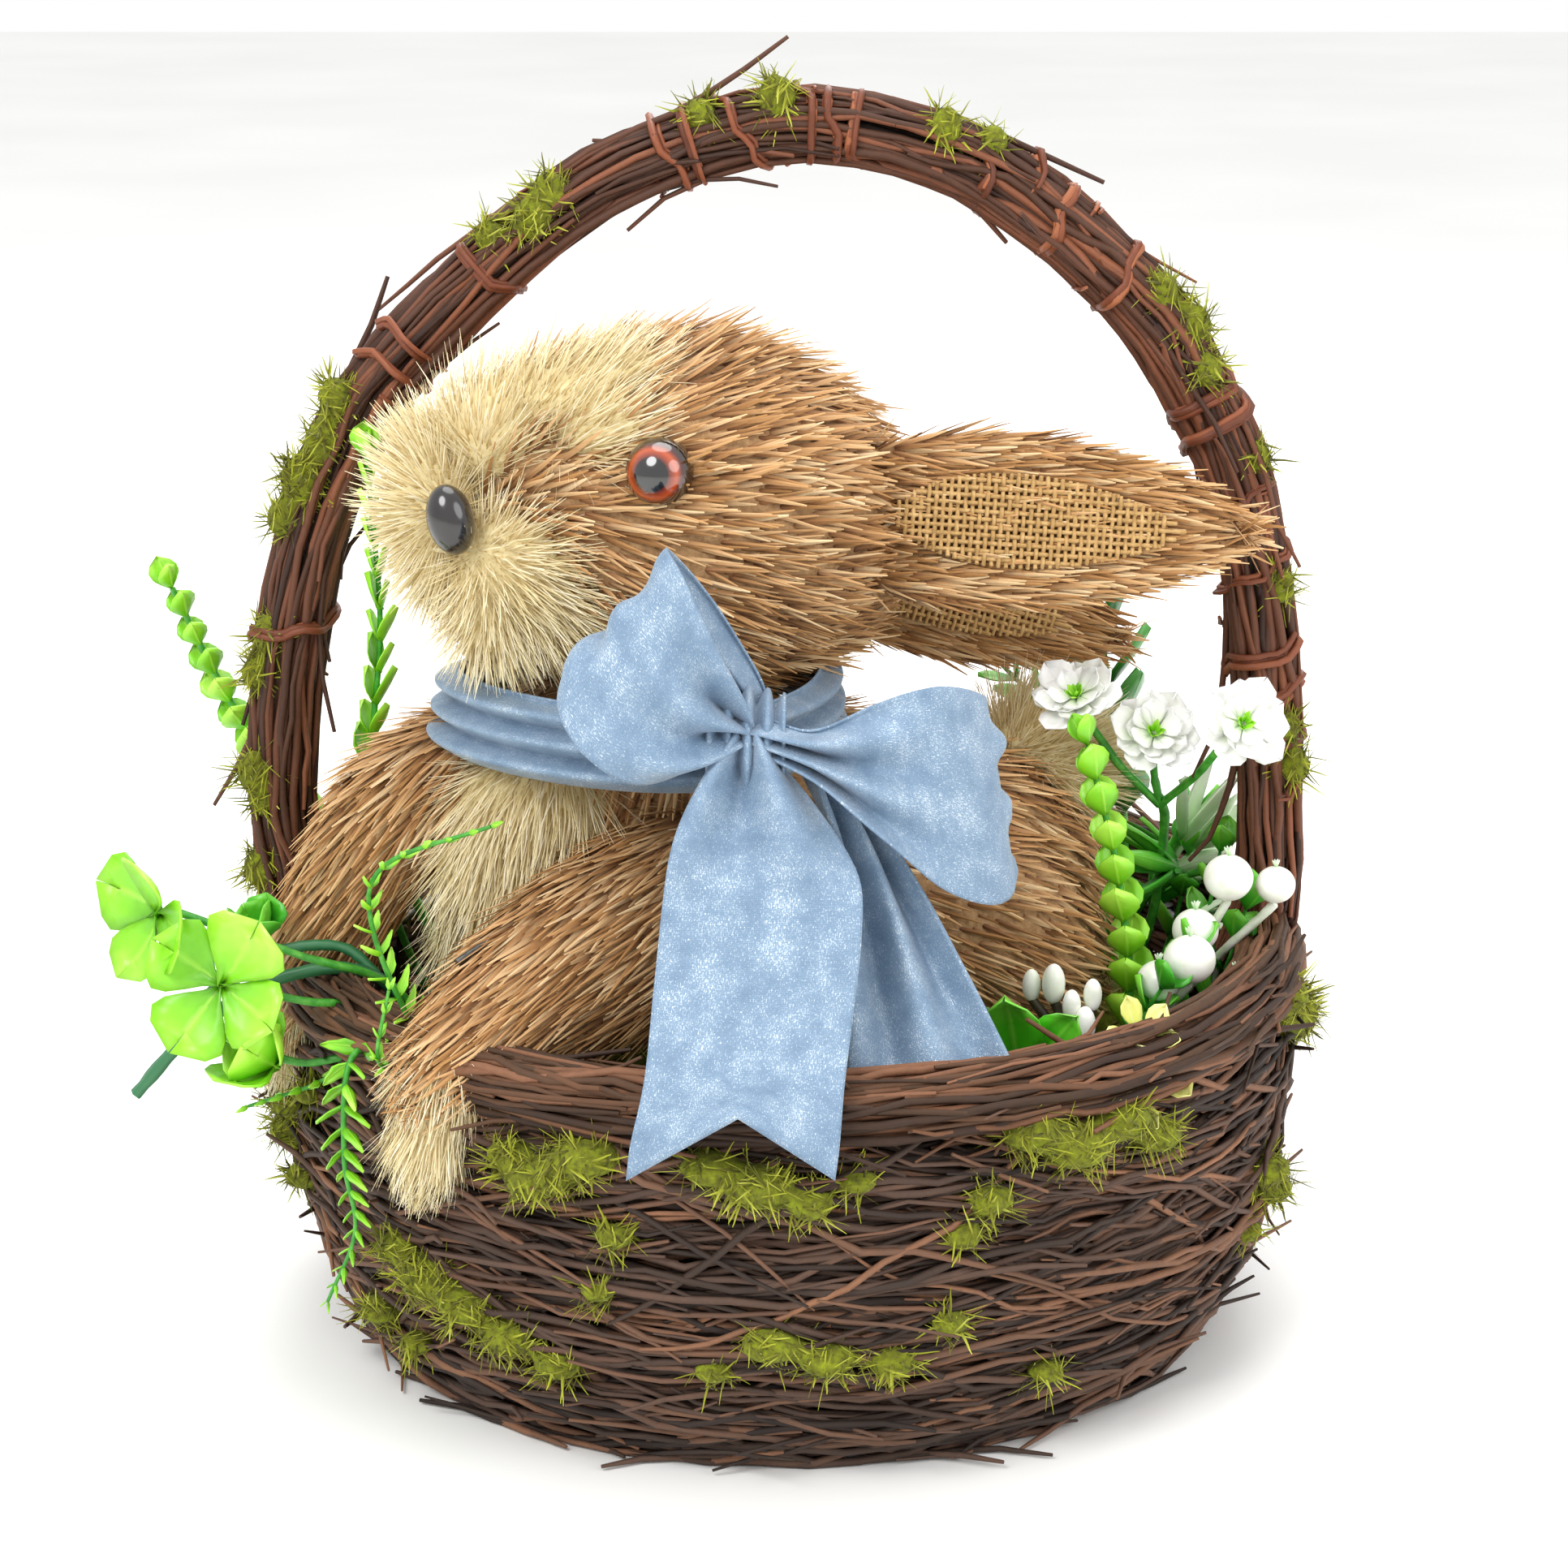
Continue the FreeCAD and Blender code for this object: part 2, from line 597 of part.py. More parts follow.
def teardrop(length, radius):
    """A closed outline: a point at the knot that opens to a round end."""
    lean = math.asin(radius / (length - radius))
    reach = (length - radius) * math.cos(lean)
    touch = Vector(reach * math.cos(lean), reach * math.sin(lean), 0)
    below = Vector(touch.x, -touch.y, 0)
    bend = Part.Arc(touch, Vector(length, 0, 0), below).toShape()
    return Part.Wire([Part.makeLine(Vector(0, 0, 0), touch), bend, Part.makeLine(below, Vector(0, 0, 0))])


def make_loop(name, way, knot, others):
    """A bow loop: the ribbon goes out from the knot, turns, and comes back behind itself."""
    thick = size("ribbon_thick")
    outer = Part.Face(teardrop(size("loop_length"), 11))
    inner = Part.Face(teardrop(size("loop_length") - 4.5 * thick, 11 - thick))
    inner.translate(Vector(3.5 * thick, 0, 0))
    strip = outer.cut(inner).extrude(Vector(0, 0, size("ribbon_width")))
    strip.translate(Vector(0, 0, -size("ribbon_width") / 2))
    turn = FreeCAD.Rotation(way, Vector(0, -1, 0), way.cross(Vector(0, -1, 0)), "XYZ")
    strip.Placement = FreeCAD.Placement(knot_at, turn).multiply(strip.Placement)
    return cut(name, free_form(name + "_strip", strip), [knot] + others)


def make_tail(name, left, right, points, knot, others):
    """A hanging end of the ribbon: a strip that follows a line drawn in the Y-Z plane."""
    half = size("ribbon_thick") / 2
    middle = Part.BSplineCurve()
    middle.interpolate([Vector(left, y, z) for y, z in points])
    places = [middle.FirstParameter + (middle.LastParameter - middle.FirstParameter) * step / 16
              for step in range(17)]
    sides = []
    for shift in (half, -half):
        line = Part.BSplineCurve()
        across = [middle.tangent(place)[0].cross(Vector(1, 0, 0)) for place in places]
        line.interpolate([middle.value(place) + way * shift for place, way in zip(places, across)])
        sides.append(line)
    ends = [Part.makeLine(sides[0].StartPoint, sides[1].StartPoint),
            Part.makeLine(sides[0].EndPoint, sides[1].EndPoint)]
    outline = Part.Wire(Part.__sortEdges__([sides[0].toShape(), sides[1].toShape()] + ends))
    strip = Part.Face(outline).extrude(Vector(right - left, 0, 0))
    for other in [knot] + others:
        strip = strip.cut(other.Shape)
    return free_form(name, max(strip.Solids, key=lambda solid: solid.Volume))


knot = ellipsoid("bow_knot", ["torso_x + 23", "torso_y - neck_radius - 16", "neck_z + 12"], ["9", "17", "11"])
doc.recompute()
keep(knot)
neck_band = keep(cut("neck_band", neck_strip, [knot]))
rim_out = size("rim_radius") + size("rim_tube")
rim_up = size("rim_height") + size("rim_tube")
left_loop = keep(make_loop("bow_loop_left", Vector(-0.62, 0, 0.78), knot, []))
right_loop = keep(make_loop("bow_loop_right", Vector(0.93, 0.18, -0.3), knot, [left_loop]))
doc.recompute()
front_line = [(knot_at.y + 2, knot_at.z - 2), (-0.83 * size("rim_radius"), (knot_at.z + rim_up) / 2 - 10),
              (-size("rim_radius") + 2, rim_up + 3.5), (-rim_out - 3.5, size("rim_height") + 2.5),
              (-rim_out - 4, size("rim_height") - 9)]
rear_line = [(knot_at.y + 3, knot_at.z - 3), (-0.8 * size("rim_radius"), (knot_at.z + rim_up) / 2 - 4),
             (-size("rim_radius") + 3, rim_up + 2.5)]
keep(make_tail("ribbon_tail_front", knot_at.x - 24, knot_at.x + 18, front_line, knot, [left_loop, right_loop]))
keep(make_tail("ribbon_tail_rear", knot_at.x + 20, knot_at.x + 54, rear_line, knot, [left_loop, right_loop]))

# ---- the sprigs ---------------------------------------------------------------------------------

FOAM_REACH = size("foam_top") - 18
stems = []


def leaf(foot, way, face, length, width):
    """A flat plastic leaf: two arcs that meet at its foot and its tip."""
    way = Vector(way).normalize()
    side = way.cross(face)
    if side.Length < 0.05:
        side = way.cross(Vector(0.3, 0.9, 0.2))
    side.normalize()
    up = side.cross(way)
    tip = foot + way * length
    middle = foot + way * (length / 2)
    arcs = [Part.Arc(foot, middle + side * (width / 2), tip).toShape(),
            Part.Arc(tip, middle - side * (width / 2), foot).toShape()]
    blade = Part.Face(Part.Wire(arcs)).extrude(up * size("leaf_thick"))
    blade.translate(up * (-size("leaf_thick") / 2))
    return blade


def stem_line(points):
    line = Part.BSplineCurve()
    line.interpolate(points)
    return line


def leaf_pairs(points, count, start, length, width, spread=0.9):
    """Leaves in pairs up a stem, the last one at its tip."""
    line = stem_line(points)
    first, last = line.FirstParameter, line.LastParameter
    blades = []
    for number in range(count):
        place = first + (last - first) * (start + (1 - start) * number / count)
        foot, way = line.value(place), line.tangent(place)[0]
        face = Vector(0, -1, 0) if number % 2 == 0 else Vector(0.7, -0.7, 0.1)
        side = way.cross(face).normalize()
        for sign in (1, -1):
            blades.append(leaf(foot - way * 0.4, way * (1 - spread) + side * sign * spread, face, length, width))
    end = line.value(last)
    blades.append(leaf(end - line.tangent(last)[0], line.tangent(last)[0], Vector(0, -1, 0), length, width))
    return blades


def sprig(name, stem_points, extras, branches=()):
    """A stem pushed into the foam, with branches, leaves, petals or berries joined to it."""
    stem = tube_along(stem_points, size("stem_width") / 2)
    parts = [tube_along(list(points), size("stem_width") / 2 * 0.8) for points in branches]
    stems.append(free_form(name + "_stem", stem))
    return keep(free_form(name, stem.multiFuse(parts + extras)))


def berry(point, radius):
    """A ball on a stem's end. Its poles lie level, clear of the stem that enters it from below."""
    return Part.makeSphere(radius, point + Vector(0.2, 0.3, 0.7), Vector(0.8, -0.6, 0.1))


def flower(point, face, petals, length, width, eye):
    """Petals round a small button."""
    face = Vector(face).normalize()
    side = face.cross(Vector(0, 0, 1)).normalize()
    up = side.cross(face)
    shapes = [Part.makeSphere(eye, point)]
    for number in range(petals):
        turn = 2 * math.pi * number / petals
        way = side * math.cos(turn) + up * math.sin(turn) + face * 0.12
        lift = face * (0.5 * (number % 2))
        shapes.append(leaf(point + lift, way, face, length, width))
    return shapes


def up_by(x, y, z):
    """A point whose height is counted from the middle of the rim, moved out with the rim."""
    grow = size("rim_radius") / 119.0
    return Vector(x * grow, y * grow, size("rim_height") - 93 + z)


def foot_at(x, y):
    point = up_by(x, y, 0)
    point.z = 0
    point = point * min(1, (size("foam_radius") - 6) / point.Length)
    return Vector(point.x, point.y, FOAM_REACH)


line = [foot_at(-84, 16), up_by(-97, 19, 100), up_by(-120, 21, 117), up_by(-138, 18, 146), up_by(-152, 15, 178)]
sprig("round_leaf_sprig_left", line, leaf_pairs(line, 8, 0.54, 9, 8))

line = [foot_at(-86, 4), up_by(-98, 1, 98), up_by(-102, 0, 138), up_by(-99, -2, 174), up_by(-100, -12, 216)]
sprig("round_leaf_sprig_tall", line, leaf_pairs(line, 9, 0.45, 8, 7))

line = [foot_at(-78, -46), up_by(-91, -53, 96), up_by(-113, -64, 109), up_by(-140, -63, 117)]
heads = [(up_by(-140, -63, 117), 10), (up_by(-130, -72, 105), 9), (up_by(-126, -60, 118), 9)]
extras = []
for point, length in heads:
    extras += flower(point, Vector(-0.2, -0.8, 0.6), 4, length, length * 0.9, 1.6)
branches = [[line[2], up_by(-124, -70, 106), heads[1][0]], [line[2], up_by(-121, -62, 114), heads[2][0]]]
sprig("clover_pick", line, extras, branches)

line = [foot_at(-76, -57), up_by(-83, -68, 100), up_by(-92, -76, 128), up_by(-80, -78, 143)]
sprig("fern_pick", line, leaf_pairs(line, 12, 0.5, 10, 3))

line = [foot_at(-80, -38), up_by(-96, -47, 100), up_by(-120, -56, 108), up_by(-140, -60, 96), up_by(-150, -62, 76)]
grass = [[line[1], up_by(-107, -44, 111), up_by(-128, -48, 108), up_by(-146, -52, 86)]]
sprig("grass_blades", line, [], grass)

line = [foot_at(80, 46), up_by(88, 54, 92), up_by(86, 55, 124), up_by(79, 50, 165)]
side_stem = [up_by(87, 55, 122), up_by(72, 48, 136), up_by(56, 44, 150)]
sprig("boxwood_tall", line, leaf_pairs(line, 7, 0.5, 13, 7) + leaf_pairs(side_stem, 3, 0.4, 11, 6), [side_stem])

line = [foot_at(76, -30), up_by(82, -33, 84), up_by(76, -31, 120), up_by(68, -30, 150)]
sprig("boxwood_light_sprig", line, leaf_pairs(line, 7, 0.5, 8, 6))

line = [foot_at(84, 16), up_by(92, 18, 90), up_by(95, 12, 118), up_by(90, 2, 142)]
heads = [up_by(90, 2, 142), up_by(70, -8, 156), up_by(106, -19, 148)]
branches = [[line[2], up_by(86, -5, 138), heads[1]], [line[2], up_by(100, -10, 132), heads[2]]]
extras = []
for point in heads:
    extras += flower(point, Vector(0, -1, 0.25), 8, 11, 7, 2.4)
sprig("daisy_spray", line, extras, branches)

line = [foot_at(76, 36), up_by(94, 34, 92), up_by(104, 32, 112), up_by(112, 30, 126)]
sprig("spiky_pick", line, leaf_pairs(line, 6, 0.74, 14, 3, 0.7))

line = [foot_at(92, -4), up_by(100, -8, 86), up_by(102, -16, 102), up_by(108, -20, 111)]
branch = [line[2], up_by(109, -17, 104), up_by(117, -18, 108)]
sprig("berry_pick_tall", line, [berry(line[3], 4.4), berry(branch[2], 3.6)], [branch])

line = [foot_at(84, -36), up_by(93, -38, 84), up_by(97, -34, 98), up_by(98, -32, 107)]
lower, upper = line[1] + Vector(-0.2, 0.1, -1.4), line[1] + Vector(0.5, 0.3, 1.2)
branches = [[lower, up_by(90, -42, 94), up_by(88, -44, 101)], [upper, up_by(97, -43, 93), up_by(99, -46, 100)]]
berries = [berry(line[3], 4.2), berry(branches[0][2], 4.4), berry(branches[1][2], 3.6)]
sprig("berry_pick_low", line, berries, branches)

line = [foot_at(68, -46), up_by(72, -50, 86), up_by(70, -48, 98), up_by(67, -46, 107)]
sprig("bud_pick", line, [berry(line[3] + Vector(0.3, 0.4, 0.9), 2.8)] + leaf_pairs(line, 3, 0.78, 8, 3.4))

line = [foot_at(68, -54), up_by(77, -63, 84), up_by(80, -66, 96), up_by(82, -68, 108)]
sprig("star_flower_pick", line, flower(line[3], Vector(0.3, -0.8, 0.5), 6, 9, 4, 2))

line = [foot_at(46, -66), up_by(50, -76, 84), up_by(52, -78, 92), up_by(54, -78, 100)]
sprig("broad_leaf_pick", line, leaf_pairs(line, 2, 0.78, 13, 10))

# ---- foam and moss ------------------------------------------------------------------------------

def make_foam_block():
    """A disc of flower foam that holds the stems and the rabbit's dowel."""
    body = doc.addObject("PartDesign::Body", "foam_disc")
    sketch = sketch_on(body, "XY_Plane", "foam_outline")
    circle_in(sketch, "0", "0", "foam_radius", (0, 0, size("foam_radius")))
    pad = body.newObject("PartDesign::Pad", "foam_pad")
    pad.Profile = sketch
    bind(pad, "Length", "foam_top - base_thick")
    body.Tip = pad
    bind(body, "Placement.Base.z", "base_thick")
    return body


def make_moss_bed():
    """Moss on the foam, out to the wires, thick enough to hide the stems' feet."""
    body = doc.addObject("PartDesign::Body", "moss_disc")
    sketch = sketch_on(body, "XY_Plane", "moss_outline")
    circle_in(sketch, "0", "0", "foam_radius + 4", (0, 0, size("foam_radius") + 4))
    pad = body.newObject("PartDesign::Pad", "moss_pad")
    pad.Profile = sketch
    bind(pad, "Length", "moss_depth")
    body.Tip = pad
    bind(body, "Placement.Base.z", "foam_top")
    return body


foam_disc = make_foam_block()
moss_disc = make_moss_bed()
doc.recompute()
foot_tools = stems + [dowel]
keep(cut("foam_block", foam_disc, foot_tools))
keep(cut("moss_bed", moss_disc, [coat_ball] + foot_tools + [handle_wire]))

# ---- finish -------------------------------------------------------------------------------------

doc.recompute()
for item in doc.Objects:
    if "Invalid" in item.State or "Error" in item.State:
        raise RuntimeError("%s did not recompute: %s" % (item.Label, item.State))
for item in nodes:
    shape = item.Shape
    if shape.isNull() or not shape.isValid() or not shape.Solids:
        raise RuntimeError("%s has no sound solid" % item.Label)
    print("%-26s solids %d  volume %9.0f" % (item.Label, len(shape.Solids), shape.Volume))
    shape.exportStep("parts/%s.step" % item.Label)
print("nodes", len(nodes))
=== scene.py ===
# %% [markdown]
# # A twig Easter basket with a straw rabbit
# The CAD model is the frame: everything below is dressed onto it, in the same place and in metres.

# %% Load the frame
import json
import math
import bpy
import bmesh
import numpy as np
from mathutils import Matrix, Vector

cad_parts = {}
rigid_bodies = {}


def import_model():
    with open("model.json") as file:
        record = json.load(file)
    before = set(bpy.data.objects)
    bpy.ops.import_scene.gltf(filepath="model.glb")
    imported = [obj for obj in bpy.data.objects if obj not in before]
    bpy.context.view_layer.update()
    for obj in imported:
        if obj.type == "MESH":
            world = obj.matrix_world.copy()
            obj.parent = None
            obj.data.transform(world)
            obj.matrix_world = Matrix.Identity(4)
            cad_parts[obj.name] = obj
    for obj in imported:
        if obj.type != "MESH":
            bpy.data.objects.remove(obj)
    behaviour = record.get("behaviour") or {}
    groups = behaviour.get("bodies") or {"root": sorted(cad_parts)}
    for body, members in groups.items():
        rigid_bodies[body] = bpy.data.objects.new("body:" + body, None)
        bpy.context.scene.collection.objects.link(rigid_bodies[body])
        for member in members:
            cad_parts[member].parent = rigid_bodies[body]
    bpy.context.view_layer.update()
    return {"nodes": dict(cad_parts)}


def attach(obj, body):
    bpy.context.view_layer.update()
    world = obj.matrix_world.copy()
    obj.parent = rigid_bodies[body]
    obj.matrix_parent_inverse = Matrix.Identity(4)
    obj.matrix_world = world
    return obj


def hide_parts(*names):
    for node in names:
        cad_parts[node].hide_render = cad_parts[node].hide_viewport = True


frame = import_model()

scene = bpy.context.scene
print("nodes in the frame:", len(frame["nodes"]))

# %% [markdown]
# ## Camera
# The basket is seen from the front and a little above, so the moss inside stays hidden behind the rim.

# %% Place the camera
LOOK_AT = Vector((-0.001, 0.0, 0.132))
RISE = math.radians(16)
AWAY = 0.91
camera = bpy.data.objects.new("camera", bpy.data.cameras.new("camera"))
scene.collection.objects.link(camera)
camera.location = LOOK_AT + AWAY * Vector((0, -math.cos(RISE), math.sin(RISE)))
camera.rotation_euler = (LOOK_AT - camera.location).to_track_quat("-Z", "Y").to_euler()
camera.data.sensor_width = 36
camera.data.lens = 84.8
scene.camera = camera
print("camera stands", round(camera.location.length, 3), "m from the basket's foot")

# %% [markdown]
# ## A short way to write node trees
# Node trees are sums on sockets. Wrapping a socket in a small class lets the sums be written as
# plain Python, for materials and for geometry alike, and one method makes any other node.

# %% Sockets that can be added and multiplied
class Field:
    """One output socket. Sums with numbers, tuples and other fields make math nodes."""

    def __init__(self, tree, socket):
        self.tree = tree
        self.socket = socket

    def also(self, name):
        return Field(self.tree, self.socket.node.outputs[name])

    def join(self, operation, *values):
        """A math node, or a vector math node where any value is a vector."""
        vector = any(isinstance(v, tuple) or (isinstance(v, Field) and v.socket.type in ("VECTOR", "RGBA"))
                     for v in values)
        made = self.tree.nodes.new("ShaderNodeVectorMath" if vector else "ShaderNodeMath")
        made.operation = operation
        for value, socket in zip(values, made.inputs):
            if vector and not isinstance(value, (Field, tuple)):
                value = (value, value, value)
            connect(self.tree, value, socket)
        return Field(self.tree, made.outputs[0])

    def __add__(self, other):
        return self.join("ADD", self, other)

    def __radd__(self, other):
        return self.join("ADD", other, self)

    def __sub__(self, other):
        return self.join("SUBTRACT", self, other)

    def __rsub__(self, other):
        return self.join("SUBTRACT", other, self)

    def __mul__(self, other):
        return self.join("MULTIPLY", self, other)

    def __rmul__(self, other):
        return self.join("MULTIPLY", other, self)

    def __truediv__(self, other):
        return self.join("DIVIDE", self, other)

    def __rtruediv__(self, other):
        return self.join("DIVIDE", other, self)

    def __pow__(self, other):
        return self.join("POWER", self, other)

    def apply(self, operation, *others):
        """sin, cos, floor and the like."""
        return self.join(operation.upper(), self, *others)

    def times(self, number):
        """A vector made longer by a number or a field."""
        made = self.tree.nodes.new("ShaderNodeVectorMath")
        made.operation = "SCALE"
        connect(self.tree, self, made.inputs[0])
        connect(self.tree, number, made.inputs["Scale"])
        return Field(self.tree, made.outputs[0])


def connect(tree, value, socket):
    if isinstance(value, Field):
        tree.links.new(value.socket, socket)
    elif isinstance(value, tuple) and socket.type == "RGBA" and len(value) == 3:
        socket.default_value = value + (1,)
    else:
        socket.default_value = value


class Tree:
    """Makes nodes in one tree."""

    def __init__(self, tree):
        self.tree = tree

    def node(self, kind, settings=None, inputs=None, output=0):
        made = self.tree.nodes.new(kind)
        for name, value in (settings or {}).items():
            setattr(made, name, value)
        for name, value in (inputs or {}).items():
            connect(self.tree, value, made.inputs[name])
        return Field(self.tree, made.outputs[output])

    def vector(self, x, y, z):
        return self.node("ShaderNodeCombineXYZ", None, {"X": x, "Y": y, "Z": z})

    def noise(self, where, scale, detail=2.0, roughness=0.5):
        """Even noise about 0.5."""
        return self.node("ShaderNodeTexNoise", None,
                         {"Vector": where, "Scale": scale, "Detail": detail, "Roughness": roughness})

    def blend(self, amount, first, second):
        return self.node("ShaderNodeMix", {"data_type": "RGBA"}, {0: amount, 6: first, 7: second}, 2)


print("field helper ready")

# %% [markdown]
# ## Finishes
# Every finish varies over the surface. Things made of many strands carry a number for each strand,
# "tone", so that neighbours differ as cut straws and picked twigs do, and "along", from root to tip.

# %% Finish helpers
def colour(text):
    """A six figure colour, as Blender's linear numbers."""
    parts = [int(text[i:i + 2], 16) / 255 for i in (0, 2, 4)]
    return tuple(p / 12.92 if p <= 0.04045 else ((p + 0.055) / 1.055) ** 2.4 for p in parts)


class Finish(Tree):
    """A material under construction."""

    def __init__(self, name, **constants):
        self.material = bpy.data.materials.new(name)
        self.material.use_nodes = True
        super().__init__(self.material.node_tree)
        self.shader = self.material.node_tree.nodes["Principled BSDF"]
        for name, value in constants.items():
            self.set(name, value)

    def set(self, name, value):
        connect(self.tree, value, self.shader.inputs[name.replace("_", " ")])

    def number(self, name):
        return self.node("ShaderNodeAttribute", {"attribute_name": name}, None, "Fac")

    def place(self):
        return self.node("ShaderNodeTexCoord", None, None, "Object")

    def cloth(self):
        return self.node("ShaderNodeUVMap", {"uv_map": "UVMap"})

    def ramp(self, amount, stops):
        made = self.node("ShaderNodeValToRGB", None, {"Fac": amount})
        band = made.socket.node.color_ramp
        while len(band.elements) < len(stops):
            band.elements.new(0.5)
        for element, (place, text) in zip(band.elements, stops):
            element.position = place
            element.color = colour(text) + (1,)
        return made

    def bump(self, height, strength, distance):
        made = self.node("ShaderNodeBump", None,
                         {"Height": height, "Strength": strength, "Distance": distance})
        self.set("Normal", made)


def twig_finish(name, stops, rough):
    f = Finish(name, Specular_IOR_Level=0.35)
    where = f.place()
    streak = f.noise(where, 420.0, 3.0, 0.6)
    patch = f.noise(where, 38.0, 2.0)
    amount = f.number("tone") * 0.72 + patch * 0.3 + streak * 0.22 - 0.12
    f.set("Base_Color", f.ramp(amount, stops))
    f.set("Roughness", rough + streak * 0.2)
    f.bump(streak, 0.55, 0.0004)
    return f.material


def straw_finish(name, stops, painted_root_shade, rough=0.62):
    f = Finish(name, Specular_IOR_Level=0.4, Sheen_Weight=0.08)
    where = f.place()
    streak = f.noise(where, 900.0, 2.0, 0.6)
    patch = f.noise(where, 45.0, 2.0)
    hue = f.ramp(f.number("tone") * 0.78 + patch * 0.3 + streak * 0.14 - 0.1, stops)
    # Painted shade: each strand is darkened towards its root, where it lies under its neighbours.
    deep = f.node("ShaderNodeMix", {"data_type": "RGBA", "blend_type": "MULTIPLY"},
                  {0: 1.0 - f.number("along").apply("power", 0.6), 6: hue, 7: colour(painted_root_shade)}, 2)
    f.set("Base_Color", deep)
    f.set("Roughness", rough + streak * 0.15)
    f.bump(streak, 0.35, 0.0002)
    return f.material


def leaf_finish(name, deep, bright, edge, gloss=0.38):
    """Moulded plastic leaves: darker at the foot, brighter to the tip, with a raised middle vein."""
    f = Finish(name, Specular_IOR_Level=0.5, Subsurface_Weight=0.0, Coat_Roughness=0.25)
    where = f.place()
    mottle = f.noise(where, 260.0, 3.0)
    along = f.number("along")
    amount = along * 0.6 + f.number("tone") * 0.35 + mottle * 0.3 - 0.1
    body = f.ramp(amount, [(0.05, deep), (0.55, bright), (0.95, edge)])
    vein = (1.0 - f.number("across").apply("absolute") * 7.0).apply("maximum", 0.0)
    f.set("Base_Color", f.blend(vein * 0.5, body, colour(edge)))
    f.set("Roughness", gloss + mottle * 0.15)
    f.set("Coat_Weight", 0.15 + mottle * 0.2)
    f.bump(vein + mottle * 0.3, 0.4, 0.0004)
    return f.material


def ribbon_finish():
    """Pale blue woven ribbon with silver threads that glint in short dashes."""
    f = Finish("blue_ribbon", Specular_IOR_Level=0.5, Sheen_Weight=0.25, Sheen_Roughness=0.4)
    flat = f.cloth()
    parts = f.node("ShaderNodeSeparateXYZ", None, {"Vector": flat}, "X")
    across, down = parts, parts.also("Y")
    warp = (across * 14000.0).apply("sine") * 0.5 + 0.5
    weft = (down * 14000.0).apply("sine") * 0.5 + 0.5
    dash = f.noise(f.vector(across * 5200.0, down * 900.0, 0.0), 1.0, 1.0, 0.5)
    grain = f.noise(f.vector(across * 2600.0, down * 2600.0, 7.0), 1.0, 2.0, 0.6)
    cloud = f.noise(f.vector(across * 130.0, down * 130.0, 3.0), 1.0, 3.0, 0.6)
    glint = (dash * 0.6 + grain * 0.6 + cloud * 0.35 - 0.83) * 9.0
    glint = glint.apply("maximum", 0.0).apply("minimum", 1.0)
    base = f.ramp(cloud * 0.7 + grain * 0.35, [(0.25, "57708a"), (0.5, "728ba4"), (0.8, "8ea5ba")])
    f.set("Base_Color", f.blend(glint * 0.75, base, colour("d3dde4")))
    f.set("Metallic", glint * 0.55)
    f.set("Roughness", 0.55 - glint * 0.25)
    f.bump(warp * 0.4 + weft * 0.4 + grain * 0.7 + glint * 0.5, 0.35, 0.0003)
    return f.material


def plain_finish(name, stops, scale, rough, strength, **constants):
    """A finish for small or hidden pieces: mottled colour, rough and bumpy at one scale."""
    f = Finish(name, **constants)
    mottle = f.noise(f.place(), scale, 4.0, 0.6)
    f.set("Base_Color", f.ramp(mottle, stops))
    f.set("Roughness", rough + mottle * 0.12)
    f.bump(mottle, strength, 0.0006)
    return f.material


# %% Make the finishes
BARK = [(0.02, "1d1512"), (0.3, "382a22"), (0.55, "533e33"), (0.78, "71503c"), (0.97, "96684a")]
twigs = twig_finish("twig_bark", BARK, 0.62)
rim_bark = twig_finish("rim_bark",
                       [(0.05, "2a1b15"), (0.35, "46301f"), (0.7, "68452f"), (0.95, "8a5f45")], 0.6)
handle_bark = twig_finish("handle_bark",
                          [(0.05, "2a1913"), (0.4, "4a2e20"), (0.7, "6b402c"), (0.95, "8c5438")], 0.55)
vine = twig_finish("vine_bark", [(0.05, "4a2414"), (0.5, "7a4128"), (0.95, "a4633f")], 0.42)
STRAW = [(0.0, "8a5f34"), (0.28, "b08048"), (0.52, "cb9c66"), (0.76, "ddb885"), (0.97, "edd4a8")]
straw = straw_finish("cut_straw", STRAW, "8a6747")
SISAL = [(0.05, "cdbb86"), (0.4, "e6d9ac"), (0.7, "f3eac8"), (0.95, "fbf6e2")]
sisal = straw_finish("pale_sisal", SISAL, "cfb887", 0.55)
MOSS = [(0.02, "4d4a18"), (0.25, "747618"), (0.5, "94981e"), (0.75, "b0b62a"), (0.95, "ccd058")]
moss = straw_finish("dry_moss", MOSS, "8a8420", 0.75)
burlap = plain_finish("burlap_thread", [(0.2, "94713f"), (0.5, "b8935c"), (0.8, "d4b27c")], 420.0, 0.85, 0.7)
lime = leaf_finish("lime_leaf", "4f9a0c", "86d41c", "b8ee50")
mid_green = leaf_finish("green_leaf", "1f7a14", "3fa81f", "7fd23c")
dark_green = leaf_finish("dark_leaf", "0e4a12", "1f6f1c", "4c9a3c", 0.3)
glossy_green = leaf_finish("glossy_leaf", "2c8a12", "46b81a", "8fe04a", 0.22)
grass_green = leaf_finish("grass_blade", "0c4030", "14603c", "3c8a50")
petals = leaf_finish("white_petal", "cfe8a8", "f4f6ee", "ffffff", 0.5)
white_leaf = leaf_finish("frosted_leaf", "6cba4a", "d4ecc4", "f6faf0", 0.45)
yellow_petal = leaf_finish("yellow_petal", "b8c43a", "e6e67c", "f6f4b0", 0.5)
berry_white = plain_finish("white_berry", [(0.2, "dfe8cc"), (0.5, "f4f4ea"), (0.8, "ffffff")],
                           160.0, 0.25, 0.15, Coat_Roughness=0.15)
stem_green = plain_finish("green_stem", [(0.2, "1f6a1c"), (0.5, "3a9428"), (0.8, "6fbc4a")], 300.0, 0.4, 0.3)
